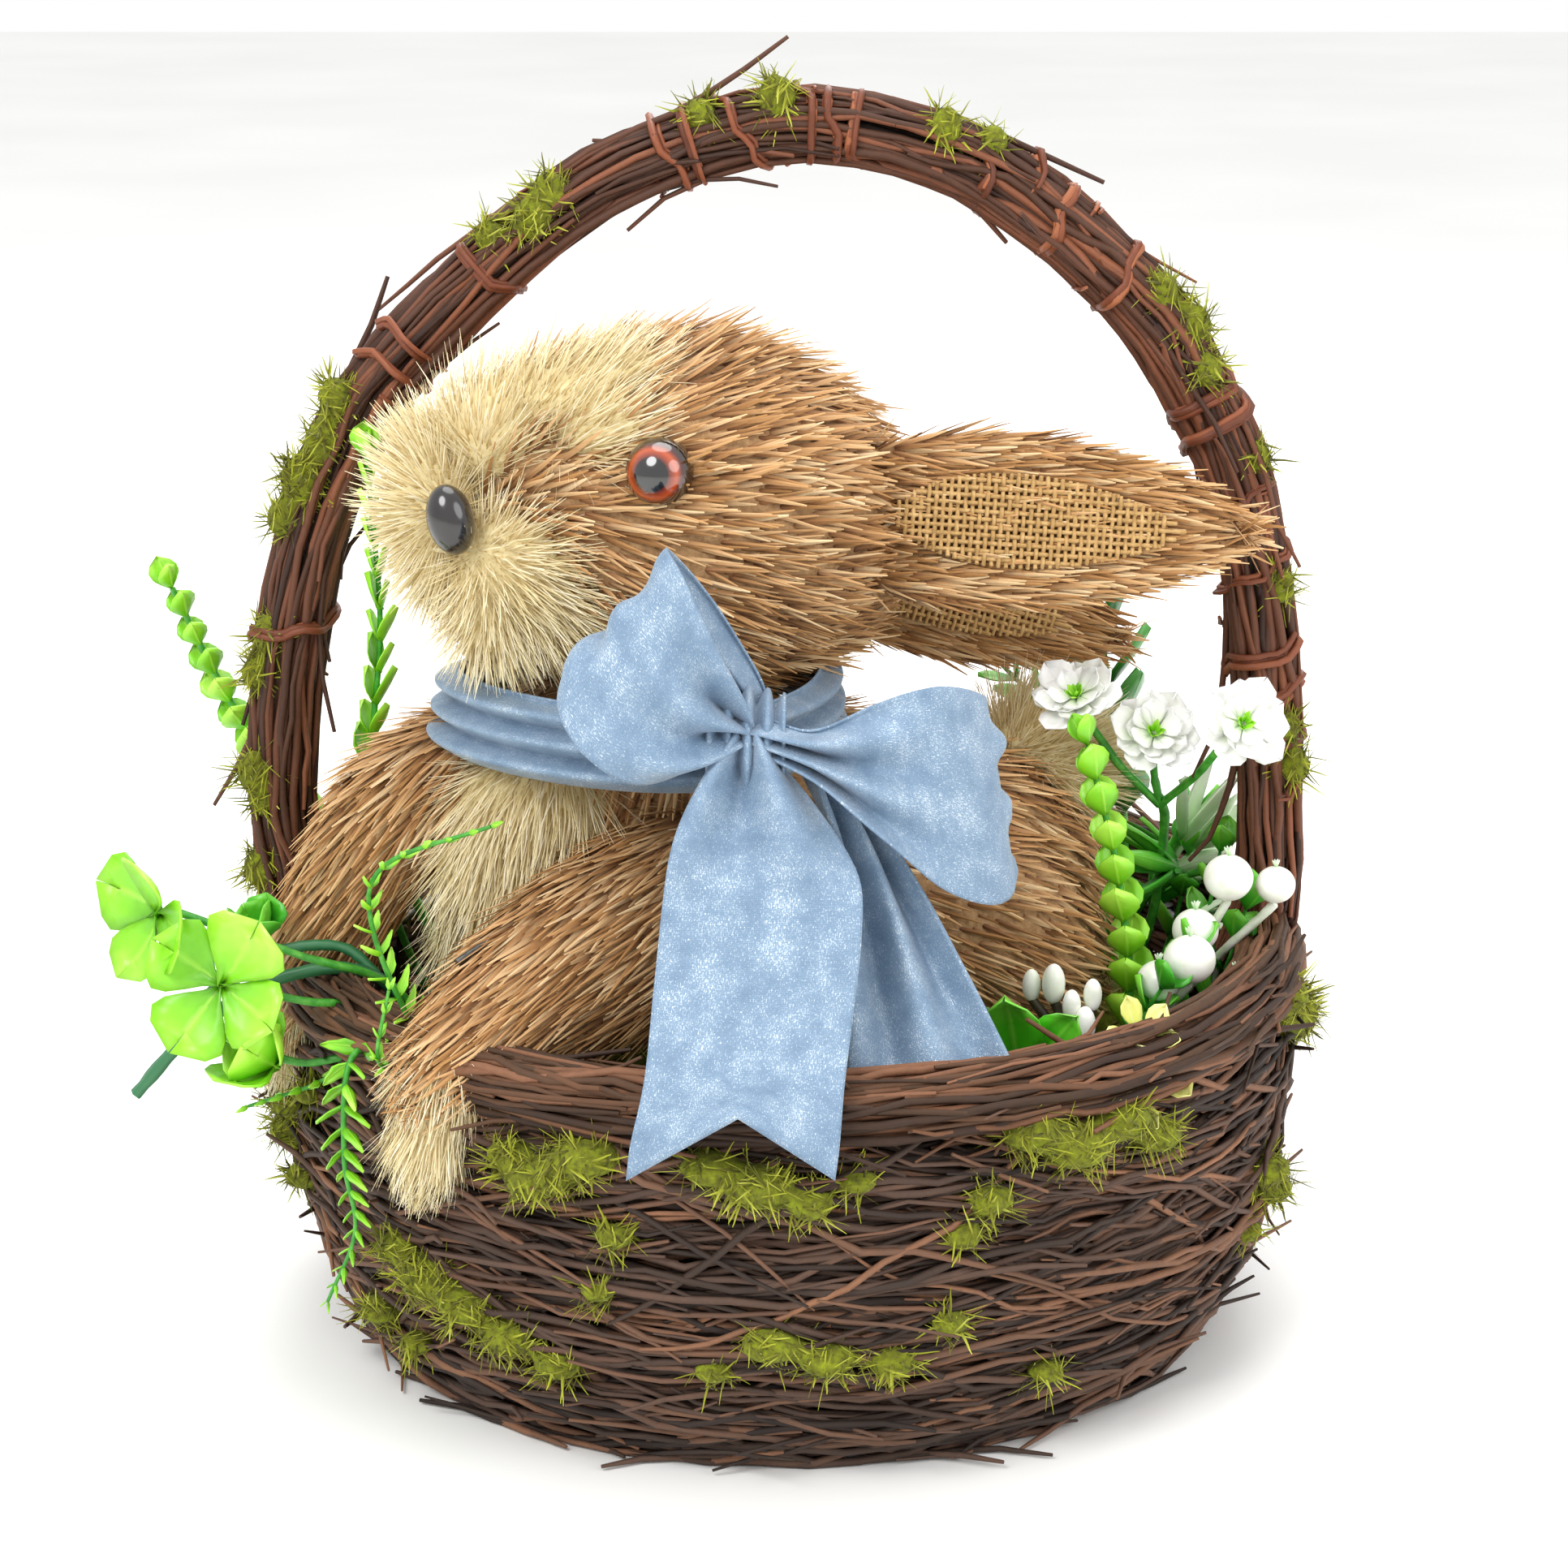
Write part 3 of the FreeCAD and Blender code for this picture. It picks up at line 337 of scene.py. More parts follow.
stem_white = plain_finish("pale_stem", [(0.2, "c8dcb0"), (0.5, "e8f0dc"), (0.8, "f8faf4")], 300.0, 0.4, 0.3)
stem_dark = plain_finish("brown_stem", [(0.2, "1c1a10"), (0.5, "3a3020"), (0.8, "5a5434")], 300.0, 0.45, 0.3)
ribbon_cloth = ribbon_finish()
steel = plain_finish("drawn_wire", [(0.3, "4a4a4a"), (0.7, "787672")], 500.0, 0.35, 0.2, Metallic=1.0)
foam_green = plain_finish("flower_foam", [(0.3, "3c5a2a"), (0.7, "5c7c40")], 700.0, 0.9, 0.8)
foam_white = plain_finish("bead_foam", [(0.3, "dcdcd6"), (0.7, "f4f4f0")], 400.0, 0.8, 0.6)
dowel_wood = plain_finish("dowel_wood", [(0.3, "a8834f"), (0.7, "cda874")], 90.0, 0.6, 0.3)
print("finishes:", len(bpy.data.materials))

# %% [markdown]
# ## Turning trees into pieces
# A geometry tree runs on a plain mesh, and its result is copied out as an ordinary mesh, so what is
# handed on holds no live modifier.

# %% Piece helpers
def mm(x, y, z):
    return Vector((x, y, z)) * 0.001


def keep(name, mesh, stands_for=()):
    """Puts a finished mesh in the scene as a piece of the object."""
    made = bpy.data.objects.new(name, mesh)
    scene.collection.objects.link(made)
    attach(made, "root")
    if stands_for:
        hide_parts(*stands_for)
    triangles = sum(len(p.vertices) - 2 for p in mesh.polygons)
    print("%-26s %7d triangles" % (name, triangles))
    return made


def mesh_from(name, points, faces, edges=()):
    mesh = bpy.data.meshes.new(name)
    mesh.from_pydata([tuple(p) for p in points], list(edges), faces)
    mesh.update()
    return mesh


def stand(name, mesh):
    """An object that only exists to run a tree on or to be copied by one."""
    made = bpy.data.objects.new(name, mesh)
    scene.collection.objects.link(made)
    return made


def clear_away(item):
    bpy.data.objects.remove(item, do_unlink=True)


def evaluated(item):
    bpy.context.view_layer.update()
    graph = bpy.context.evaluated_depsgraph_get()
    return bpy.data.meshes.new_from_object(item.evaluated_get(graph), preserve_all_data_layers=True,
                                           depsgraph=graph)


WORKING_NUMBERS = ("deep", "bow", "turn", "girth", "span", "stray", "height", "twist", "start", "run",
                   "tilt", "id", "comb")


def grow(name, base, tree, **values):
    """Runs a tree on base and gives the result as a plain mesh."""
    modifier = base.modifiers.new("grow", "NODES")
    modifier.node_group = tree
    for item in tree.interface.items_tree:
        word = item.name.replace(" ", "_").lower()
        if item.item_type == "SOCKET" and item.in_out == "INPUT" and word in values:
            modifier[item.identifier] = values[word]
    mesh = evaluated(base)
    base.modifiers.remove(modifier)
    mesh.name = name
    for word in [a.name for a in mesh.attributes if a.name in WORKING_NUMBERS]:
        mesh.attributes.remove(mesh.attributes[word])
    return mesh


def new_tree(name, **inputs):
    """A geometry tree with named inputs. Gives its builder and its inputs as fields."""
    made = bpy.data.node_groups.new(name, "GeometryNodeTree")
    kinds = {"g": "Geometry", "f": "Float", "i": "Int", "o": "Object", "m": "Material"}
    for word, kind in inputs.items():
        made.interface.new_socket(word.replace("_", " ").capitalize(), in_out="INPUT",
                                  socket_type="NodeSocket" + kinds[kind])
    made.interface.new_socket("Geometry", in_out="OUTPUT", socket_type="NodeSocketGeometry")
    source = made.nodes.new("NodeGroupInput")
    fields = {word: Field(made, source.outputs[place]) for place, word in enumerate(inputs)}
    return Tree(made), fields


def finish_tree(t, geometry, material=None):
    """The last nodes of every tree: real geometry, a material, and out."""
    solid = t.node("GeometryNodeRealizeInstances", None, {"Geometry": geometry})
    if material is not None:
        solid = t.node("GeometryNodeSetMaterial", None, {"Geometry": solid, "Material": material})
    out = t.tree.nodes.new("NodeGroupOutput")
    t.tree.links.new(solid.socket, out.inputs[0])
    return t.tree


def chance(t, low, high, seed):
    """A random number for each point or each copy."""
    return t.node("FunctionNodeRandomValue", {"data_type": "FLOAT"}, {2: low, 3: high, 8: seed}, 1)


def stored(t, name, kind="FLOAT"):
    return t.node("GeometryNodeInputNamedAttribute", {"data_type": kind}, {"Name": name})


def store(t, geometry, name, value, domain="INSTANCE"):
    return t.node("GeometryNodeStoreNamedAttribute", {"data_type": "FLOAT", "domain": domain},
                  {"Geometry": geometry, "Name": name, "Value": value})


def facing(t, direction, face):
    """A turn that points a copy's Z along direction and its X as near face as it can."""
    upright = t.node("FunctionNodeAlignRotationToVector", {"axis": "Z"}, {"Vector": direction})
    return t.node("FunctionNodeAlignRotationToVector", {"axis": "X", "pivot_axis": "Z"},
                  {"Rotation": upright, "Vector": face})


# %% [markdown]
# ## Strands and leaves to copy
# A straw is a thin three-sided blade. It is one unit long and wide, so a copy's scale sets its size.
# Leaves are thin closed shells with a raised vein, also one unit long.

# %% Templates
def with_numbers(mesh, **columns):
    for name, values in columns.items():
        mesh.attributes.new(name, "FLOAT", "POINT").data.foreach_set("value", np.asarray(values, float))
    return mesh


def strand(name, steps, bend, curl=0.0, sides=3):
    """A tapering blade along Z that leans to X; curl sends it sideways too."""
    points, along = [], []
    for step in range(steps + 1):
        part = step / steps
        wide = 0.5 * (1 - 0.75 * part ** 2)
        middle = Vector((bend * part ** 2, curl * math.sin(part * 5.5) * part, part))
        for side in range(sides):
            turn = 2 * math.pi * side / sides
            points.append(middle + Vector((0.35 * wide * math.cos(turn), wide * math.sin(turn), 0)))
            along.append(part)
    faces = []
    for step in range(steps):
        for side in range(sides):
            a, b = step * sides + side, step * sides + (side + 1) % sides
            faces.append((a, b, b + sides, a + sides))
    faces += [tuple(reversed(range(sides))), tuple(range(steps * sides, (steps + 1) * sides))]
    return stand(name, with_numbers(mesh_from(name, points, faces), along=along))


def leaf(name, wide, fullest=0.5, cup=0.15, curl=0.1, rows=6, waves=0, notch=0.0):
    """A leaf along Z with its face towards X. fullest is where it is widest, from foot to tip."""
    power = math.log(0.5) / math.log(fullest)
    tops, along, across = [], [], []
    columns = (-1, -0.5, 0, 0.5, 1)
    for row in range(rows + 1):
        part = row / rows
        half = max(wide / 2 * math.sin(math.pi * part ** power) ** 0.75, 0.012)
        half *= 1 + 0.12 * math.sin(part * math.pi * 2 * waves)
        for u in columns:
            lift = cup * wide * u * u - 0.02 * (1 - abs(u)) + curl * part * part
            reach = part - notch * (1 - abs(u)) * part ** 4
            tops.append(Vector((lift, u * half, reach)))
            along.append(part)
            across.append(u)
    count = len(tops)
    points = tops + [p + Vector((-0.035, 0, 0)) for p in tops]
    faces = []
    for row in range(rows):
        for column in range(4):
            a = row * 5 + column
            faces.append((a, a + 1, a + 6, a + 5))
            faces.append((a + count, a + 5 + count, a + 6 + count, a + 1 + count))
    rim = [c for c in range(5)] + [r * 5 + 4 for r in range(1, rows + 1)]
    rim += [rows * 5 + c for c in (3, 2, 1, 0)] + [r * 5 for r in range(rows - 1, 0, -1)]
    for a, b in zip(rim, rim[1:] + rim[:1]):
        faces.append((b, a, a + count, b + count))
    mesh = with_numbers(mesh_from(name, points, faces), along=along * 2, across=across * 2)
    for face in mesh.polygons:
        face.use_smooth = True
    return stand(name, mesh)


straw_blade = strand("straw_blade", 2, 0.10)
sisal_hair = strand("sisal_hair", 4, 0.22, 0.06)
moss_curl = strand("moss_curl", 5, 0.35, 0.28)
round_leaf = leaf("round_leaf", 0.85, 0.55, 0.12, 0.08, 5)
oval_leaf = leaf("oval_leaf", 0.55, 0.58, 0.12, 0.12, 6)
long_leaf = leaf("long_leaf", 0.22, 0.45, 0.2, 0.2, 6)
fern_leaf = leaf("fern_leaf", 0.38, 0.35, 0.1, 0.12, 5, waves=3)
broad_leaf = leaf("broad_leaf", 0.62, 0.6, 0.16, 0.2, 7)
heart_leaf = leaf("heart_leaf", 1.05, 0.66, 0.1, 0.14, 6, notch=0.3)
petal = leaf("petal", 0.75, 0.68, 0.14, 0.16, 6, notch=0.12)
narrow_petal = leaf("narrow_petal", 0.42, 0.6, 0.12, 0.2, 5)
print("templates made")

# %% [markdown]
# ## Trees that repeat things
# 1. strands that grow out of a surface and lie along its "comb" direction
# 2. twigs laid round a bulging wall
# 3. twigs that run along a guide line, or wind round it
# 4. leaves in pairs along a stem

# %% Strands on a surface
def make_fibre_tree():
    t, n = new_tree("strands on a surface", surface="g", strand="o", density="f", length="f", width="f",
                    lift="f", spread="f", seed="i", material="m")
    scatter = t.node("GeometryNodeDistributePointsOnFaces", None,
                     {"Mesh": n["surface"], "Density": n["density"], "Seed": n["seed"]})
    normal = scatter.also("Normal")
    stray = t.node("FunctionNodeRandomValue", {"data_type": "FLOAT_VECTOR"},
                   {0: (-1.0, -1.0, -1.0), 1: (1.0, 1.0, 1.0), 8: n["seed"] + 3}, 0)
    rise = n["lift"] * chance(t, 0.3, 1.6, n["seed"] + 5)
    way = stored(t, "comb", "FLOAT_VECTOR") + normal.times(rise) + stray.times(n["spread"])
    size = n["length"] * chance(t, 0.55, 1.2, n["seed"] + 7)
    thick = n["width"] * chance(t, 0.6, 1.3, n["seed"] + 9)
    copy = t.node("GeometryNodeObjectInfo", None, {"Object": n["strand"]}, "Geometry")
    laid = t.node("GeometryNodeInstanceOnPoints", None,
                  {"Points": scatter, "Instance": copy, "Rotation": facing(t, way, normal),
                   "Scale": t.vector(thick, thick, size)})
    laid = store(t, laid, "tone", chance(t, 0.0, 1.0, n["seed"] + 11))
    return finish_tree(t, laid, n["material"])


# %% Twigs
def lines_to_bend(t, n, numbers):
    """Many straight lines, each with its own random numbers, ready to be bent into place."""
    starts = t.node("GeometryNodeMeshLine", None, {"Count": n["count"], "Offset": (0.0, 0.0, 0.0)})
    line = t.node("GeometryNodeCurvePrimitiveLine", None, {"End": (1.0, 0.0, 0.0)})
    line = t.node("GeometryNodeResampleCurve", None, {"Curve": line, "Count": n["points"]})
    made = t.node("GeometryNodeInstanceOnPoints", None, {"Points": starts, "Instance": line})
    for place, (name, low, high) in enumerate(numbers):
        made = store(t, made, name, chance(t, low, high, n["seed"] + 13 * place))
    return t.node("GeometryNodeRealizeInstances", None, {"Geometry": made})


def round_tube(t, lines, radius, sides):
    lines = t.node("GeometryNodeSetCurveRadius", None, {"Curve": lines, "Radius": radius})
    ring = t.node("GeometryNodeCurvePrimitiveCircle", None, {"Resolution": sides, "Radius": 1.0})
    return t.node("GeometryNodeCurveToMesh", None,
                  {"Curve": lines, "Profile Curve": ring, "Scale": t.node("GeometryNodeInputRadius"),
                   "Fill Caps": True})


def thicken(t, lines, radius, sides, material):
    """Gives lines their thickness, thinner towards both ends."""
    part = t.node("GeometryNodeSplineParameter")
    taper = 1.0 - ((part - 0.5).apply("absolute") * 2.0) ** 4.0 * 0.55
    return finish_tree(t, round_tube(t, lines, radius * stored(t, "girth") * taper, sides), material)


def make_wall_tree():
    t, n = new_tree("twigs laid round the wall", geometry="g", count="i", points="i", seed="i", radius="f",
                    curve="f", centre="f", belly="f", low="f", high="f", deepest="f", shallowest="f",
                    slope="f", wobble="f", loose="f", material="m")
    lines = lines_to_bend(t, n, [
        ("turn", 0.0, 6.2832), ("height", n["low"], n["high"]), ("span", 0.55, 1.5),
        ("tilt", -1.0, 1.0), ("bow", -1.0, 1.0), ("deep", n["deepest"], n["shallowest"]),
        ("stray", 0.0, 1.0), ("girth", 0.65, 1.25), ("tone", 0.0, 1.0)])
    part = t.node("GeometryNodeSplineParameter") - 0.5
    turn = stored(t, "turn") + part * stored(t, "span")
    tilt = stored(t, "tilt")
    where = t.vector(turn * 3.0, stored(t, "tone") * 57.0, 0.0)
    sway = t.noise(where, 1.6, 2.0) - 0.5
    push = t.noise(where + (11.0, 3.0, 7.0), 2.2, 2.0) - 0.5
    z = stored(t, "height") + tilt * tilt * tilt * n["slope"] * part * 2.0
    z = z + stored(t, "bow") * 0.012 * part * part * 4.0 + sway * n["wobble"] * 2.0
    z = z.apply("maximum", 0.0012).apply("minimum", n["high"] + 0.004)
    rise = z - n["belly"]
    out = n["centre"] + (n["curve"] * n["curve"] - rise * rise).apply("sqrt")
    ends = ((part.apply("absolute") * 2.0) ** 6.0) * (stored(t, "stray") ** 7.0) * n["loose"]
    out = out + stored(t, "deep") + push * n["wobble"] + ends
    spot = t.vector(out * turn.apply("cosine"), out * turn.apply("sine"), z)
    bent = t.node("GeometryNodeSetPosition", None, {"Geometry": lines, "Position": spot})
    return thicken(t, bent, n["radius"], 5, n["material"])


def make_guide_tree():
    t, n = new_tree("twigs along a guide", guide="g", count="i", points="i", seed="i", radius="f", tube="f",
                    first="f", last="f", run_low="f", run_high="f", twist_low="f", twist_high="f",
                    deep_low="f", deep_high="f", wobble="f", loose="f", ring="f", material="m")
    lines = lines_to_bend(t, n, [
        ("start", n["first"], n["last"]), ("run", n["run_low"], n["run_high"]), ("turn", 0.0, 6.2832),
        ("twist", n["twist_low"], n["twist_high"]), ("deep", n["deep_low"], n["deep_high"]),
        ("stray", 0.0, 1.0), ("girth", 0.65, 1.25), ("tone", 0.0, 1.0)])
    guide = t.node("GeometryNodeMeshToCurve", None, {"Mesh": n["guide"]})
    part = t.node("GeometryNodeSplineParameter") - 0.5
    far = stored(t, "start") + part * stored(t, "run")
    wrapped = far.apply("fract")
    held = far.apply("maximum", 0.0).apply("minimum", 1.0)
    far = wrapped * n["ring"] + held * (1.0 - n["ring"])
    sample = t.node("GeometryNodeSampleCurve", {"mode": "FACTOR", "data_type": "FLOAT"},
                    {"Curves": guide, "Factor": far}, "Position")
    way, side = sample.also("Tangent"), sample.also("Normal")
    other = way.apply("cross_product", side)
    turn = stored(t, "turn") + part * stored(t, "twist")
    where = t.vector(part * 4.0, stored(t, "tone") * 57.0, stored(t, "start") * 9.0)
    push = t.noise(where, 1.8, 2.0) - 0.5
    sway = t.noise(where + (5.0, 9.0, 2.0), 1.8, 2.0) - 0.5
    ends = ((part.apply("absolute") * 2.0) ** 8.0) * (stored(t, "stray") ** 8.0) * n["loose"]
    out = n["tube"] * stored(t, "deep").apply("sqrt") + push * n["wobble"] + ends
    turn = turn + sway * 1.2
    spot = sample + side.times(out * turn.apply("cosine")) + other.times(out * turn.apply("sine"))
    bent = t.node("GeometryNodeSetPosition", None, {"Geometry": lines, "Position": spot})
    return thicken(t, bent, n["radius"], 5, n["material"])


# %% Leaves along a stem
def make_leafy_tree():
    t, n = new_tree("leaves along a stem", stem="g", leaf="o", pairs="i", start="f", size="f", splay="f",
                    taper="f", roll="f", turn="f", stem_radius="f", seed="i", leaf_finish="m", stem_finish="m")
    line = t.node("GeometryNodeMeshToCurve", None, {"Mesh": n["stem"]})
    part = t.node("GeometryNodeSplineParameter")
    tube = round_tube(t, line, n["stem_radius"] * (1.0 - part * 0.5), 6)
    tube = t.node("GeometryNodeSetMaterial", None, {"Geometry": tube, "Material": n["stem_finish"]})
    leafy = t.node("GeometryNodeTrimCurve", {"mode": "FACTOR"}, {"Curve": line, "Start": n["start"]})
    dots = t.node("GeometryNodeCurveToPoints", {"mode": "COUNT"}, {"Curve": leafy, "Count": n["pairs"]})
    way, side = dots.also("Tangent"), dots.also("Normal")
    other = way.apply("cross_product", side)
    index = t.node("GeometryNodeInputIndex")
    up = index / n["pairs"]
    groups = [tube]
    copy = t.node("GeometryNodeObjectInfo", None, {"Object": n["leaf"]}, "Geometry")
    for number in (0, 1):
        seed = n["seed"] + 40 * number
        turn = n["roll"] + index * n["turn"] + math.pi * number + chance(t, -0.25, 0.25, seed)
        out = side.times(turn.apply("cosine")) + other.times(turn.apply("sine"))
        splay = n["splay"] * (1.0 - up * 0.45) * chance(t, 0.85, 1.15, seed + 1)
        lean = way.times(splay.apply("cosine")) + out.times(splay.apply("sine"))
        size = n["size"] * (1.0 - up * n["taper"]) * chance(t, 0.88, 1.12, seed + 2)
        leaves = t.node("GeometryNodeInstanceOnPoints", None,
                        {"Points": dots, "Instance": copy, "Rotation": facing(t, lean, way - out),
                         "Scale": t.vector(size, size, size)})
        leaves = store(t, leaves, "tone", chance(t, 0.0, 1.0, seed + 3))
        groups.append(t.node("GeometryNodeSetMaterial", None,
                             {"Geometry": leaves, "Material": n["leaf_finish"]}))
    joined = t.tree.nodes.new("GeometryNodeJoinGeometry")
    for group in reversed(groups):
        t.tree.links.new(group.socket, joined.inputs[0])
    return finish_tree(t, Field(t.tree, joined.outputs[0]))


fibre_tree = make_fibre_tree()
wall_tree = make_wall_tree()
guide_tree = make_guide_tree()
leafy_tree = make_leafy_tree()
print("trees:", [g.name for g in bpy.data.node_groups])

# %% [markdown]
# ## Lines, forms and merging
# Smooth lines go through a few chosen points. Rounded forms are overlapping balls skinned into
# one surface, the way carved foam under a straw animal is rounded over.

# %% Lines and forms
def smooth_line(points, steps=8):
    """A smooth line through points in millimetres, given in metres."""
    p = [mm(*point) for point in points]
    p = [2 * p[0] - p[1]] + p + [2 * p[-1] - p[-2]]
    line = []
    for a, b, c, d in zip(p, p[1:], p[2:], p[3:]):
        for step in range(steps):
            x = step / steps
            line.append(0.5 * (2 * b + (c - a) * x + (2 * a - 5 * b + 4 * c - d) * x * x
                               + (3 * b - a - 3 * c + d) * x ** 3))
    return line + [p[-2]]


def even_line(line, count):
    """The same line with its points evenly spaced."""
    far = np.cumsum([0] + [(b - a).length for a, b in zip(line, line[1:])])
    at = np.linspace(0, far[-1], count)
    columns = [np.interp(at, far, [p[k] for p in line]) for k in range(3)]
    return [Vector(p) for p in zip(*columns)]


def guide_object(name, line, closed=False):
    count = len(line)
    edges = [(i, (i + 1) % count) for i in range(count if closed else count - 1)]
    return stand(name, mesh_from(name, line, [], edges))


def merged(name, meshes):
    """Several meshes as one, keeping their numbers and materials."""
    items = [stand(name, mesh) for mesh in meshes]
    if len(items) > 1:
        with bpy.context.temp_override(active_object=items[0], object=items[0],
                                       selected_editable_objects=items, selected_objects=items):
            bpy.ops.object.join()
    mesh = items[0].data
    mesh.name = name
    clear_away(items[0])
    return mesh


def ball_mesh(name, parts, divisions, turn=0):
    """Balls given as (centre, radii) in millimetres, turned about Y."""
    bm = bmesh.new()
    for centre, radii in parts:
        place = Matrix.Translation(mm(*centre)) @ Matrix.Rotation(math.radians(turn), 4, "Y")
        size = Matrix.Diagonal([*mm(*radii), 1])
        bmesh.ops.create_icosphere(bm, subdivisions=divisions, radius=1, matrix=place @ size)
    mesh = bpy.data.meshes.new(name)
    bm.to_mesh(mesh)
    bm.free()
    return mesh


def balls(name, parts, finish, voxel=0.0022):
    """One closed surface over balls given as (centre, radii)."""
    item = stand(name, ball_mesh(name, parts, 4))
    skin = item.modifiers.new("skin", "REMESH")
    skin.mode, skin.voxel_size = "VOXEL", voxel
    soft = item.modifiers.new("soft", "SMOOTH")
    soft.factor, soft.iterations = 0.6, 8
    made = evaluated(item)
    clear_away(item)
    made.materials.clear()
    made.materials.append(finish)
    return made


def combed(mesh, way):
    """Gives each point of a surface the direction that strands lie there."""
    normals = [v.normal.copy() for v in mesh.vertices]
    rows = []
    for v, normal in zip(mesh.vertices, normals):
        lie = Vector(way(v.co * 1000))
        lie -= normal * lie.dot(normal)
        rows.append(lie.normalized() if lie.length > 1e-6 else Vector((0, 0, -1)))
    mesh.attributes.new("comb", "FLOAT_VECTOR", "POINT").data.foreach_set("vector", np.ravel(rows))
    return mesh


def furred(name, base, way, hair, finish, density, length, width, lift, spread, seed):
    """Strands on a surface, and the surface itself under them."""
    item = stand(name, combed(base, way))
    fur = grow(name, item, fibre_tree, strand=hair, density=density * 1e6, length=length * 0.001,
               width=width * 0.001, lift=lift, spread=spread, seed=seed, material=finish)
    under = item.data.copy()
    clear_away(item)
    return merged(name, [fur, under])


def twigs_along(name, line, closed=False, **values):
    guide = guide_object(name, line, closed)
    sizes = dict(points=16, radius=0.0009, tube=0.007, first=0.0, last=1.0, run_low=0.2, run_high=0.5,
                 twist_low=-1.5, twist_high=1.5, deep_low=0.3, deep_high=1.0, wobble=0.002, loose=0.0,
                 ring=1.0 if closed else 0.0, seed=1, material=twigs)
    sizes.update(values)
    mesh = grow(name, guide, guide_tree, **sizes)
    clear_away(guide)
    return mesh


def away_from(x, y, z):
    return lambda p: p - Vector((x, y, z))


print("form helpers ready")

# %% [markdown]
# ## The basket wall
# The real wall is a nest: long thin vine twigs laid round and over each other and caught on a wire
# frame. Dark twigs fill it behind, and the outer ones cross at every angle.

# %% Twigs in the wall
WALL_CURVE, WALL_CENTRE, BELLY = 115.8, 8.2, 62
WALL = dict(points=14, curve=WALL_CURVE * 0.001, centre=WALL_CENTRE * 0.001, belly=BELLY * 0.001,
            low=0.001, high=0.088, material=twigs)
dot = stand("dot", mesh_from("dot", [(0, 0, 0)], []))
wall_layers = [
    ("wall_twigs_inside", dict(count=500, seed=11, radius=0.0012, deepest=-0.011, shallowest=-0.006,
                               slope=0.010, wobble=0.002, loose=0.0)),
    ("wall_twigs_middle", dict(count=700, seed=23, radius=0.00105, deepest=-0.006, shallowest=-0.002,
                               slope=0.016, wobble=0.004, loose=0.004)),
    ("wall_twigs_outside", dict(count=680, seed=37, radius=0.00085, deepest=-0.0025, shallowest=0.0012,
                                slope=0.030, wobble=0.007, loose=0.012)),
]
for layer, sizes in wall_layers:
    keep(layer, grow(layer, dot, wall_tree, **WALL, **sizes), ["basket_wall"])

# %% Rim and base
turns = [2 * math.pi * i / 96 for i in range(96)]
RIM_RADIUS, RIM_HEIGHT = 0.119, 0.092
rim_line = [Vector((RIM_RADIUS * math.cos(a), RIM_RADIUS * math.sin(a), RIM_HEIGHT)) for a in turns]
rim = twigs_along("rim", rim_line, True, count=430, points=18, radius=0.00105, tube=0.0082, run_low=0.10,
                  run_high=0.38, deep_low=0.15, deep_high=1.1, wobble=0.004, loose=0.012, seed=5,
                  twist_low=-2.2, twist_high=2.2, material=rim_bark)
keep("rim_twigs", rim, ["rim_coil"])
spiral = []
for a in np.arange(0, 42.5, 0.16):
    out = 0.008 + 0.0135 * a / 6.2832
    spiral.append(Vector((out * math.cos(a), out * math.sin(a), 0.0045)))
base = twigs_along("base", spiral, count=190, points=30, radius=0.0010, tube=0.0034, run_low=0.08,
                   run_high=0.16, deep_low=0.0, deep_high=1.0, wobble=0.002, seed=8, twist_low=-3, twist_high=3)
keep("base_twigs", base, ["base_pad"])

# %% [markdown]
# ## The handle
# A sheaf of long vines over a steel wire, bound here and there by a vine wound round it.

# %% Handle twigs
left_leg = [(-112, 0, 84), (-120, 0, 100), (-124, 0, 120), (-124, 0, 142), (-121, 0, 169), (-114, 0, 198),
            (-101, 0, 226), (-84, 0, 246), (-60, 0, 268), (-34, 0, 284)]
right_leg = [(38, 0, 286), (60, 0, 273), (74, 0, 261), (88, 0, 247), (99, 0, 228), (109, 0, 204),
             (116, 0, 160), (118, 0, 128), (118, 0, 104), (112, 0, 84)]
handle_line = even_line(smooth_line(left_leg + [(2, 0, 293)] + right_leg), 160)
core = twigs_along("core", handle_line, count=70, points=26, radius=0.0014, tube=0.0045, deep_low=0.05,
                   deep_high=1.0, run_low=0.4, run_high=0.9, seed=3, twist_low=-1, twist_high=1)
outer = twigs_along("outer", handle_line, count=170, points=28, radius=0.00105, tube=0.0078, deep_low=0.5,
                    deep_high=1.12, run_low=0.25, run_high=0.7, seed=9, wobble=0.0045, loose=0.014,
                    twist_low=-2.4, twist_high=2.4, material=handle_bark)
keep("handle_twigs", merged("handle_twigs", [core, outer]), ["handle_bundle"])


def handle_frame(part):
    """A place on the handle, the way it runs, and two directions across it."""
    index = min(max(int(part * 159), 1), 158)
    way = (handle_line[index + 1] - handle_line[index - 1]).normalized()
    front = Vector((0, -1, 0))
    return handle_line[index], way, front, way.cross(front)


def wound_vine(part, turns_made, reach, radius=0.0088, slip=0.0):
    """A line wound round the handle."""
    line = []
    steps = int(turns_made * 14)
    for step in range(steps + 1):
        x = step / steps
        spot, way, front, side = handle_frame(part + (x - 0.5) * reach)
        turn = 2 * math.pi * (turns_made * x + slip)
        out = radius * (1 + 0.12 * math.sin(step * 1.9 + part * 40))
        line.append(spot + front * math.cos(turn) * out + side * math.sin(turn) * out)
    return line


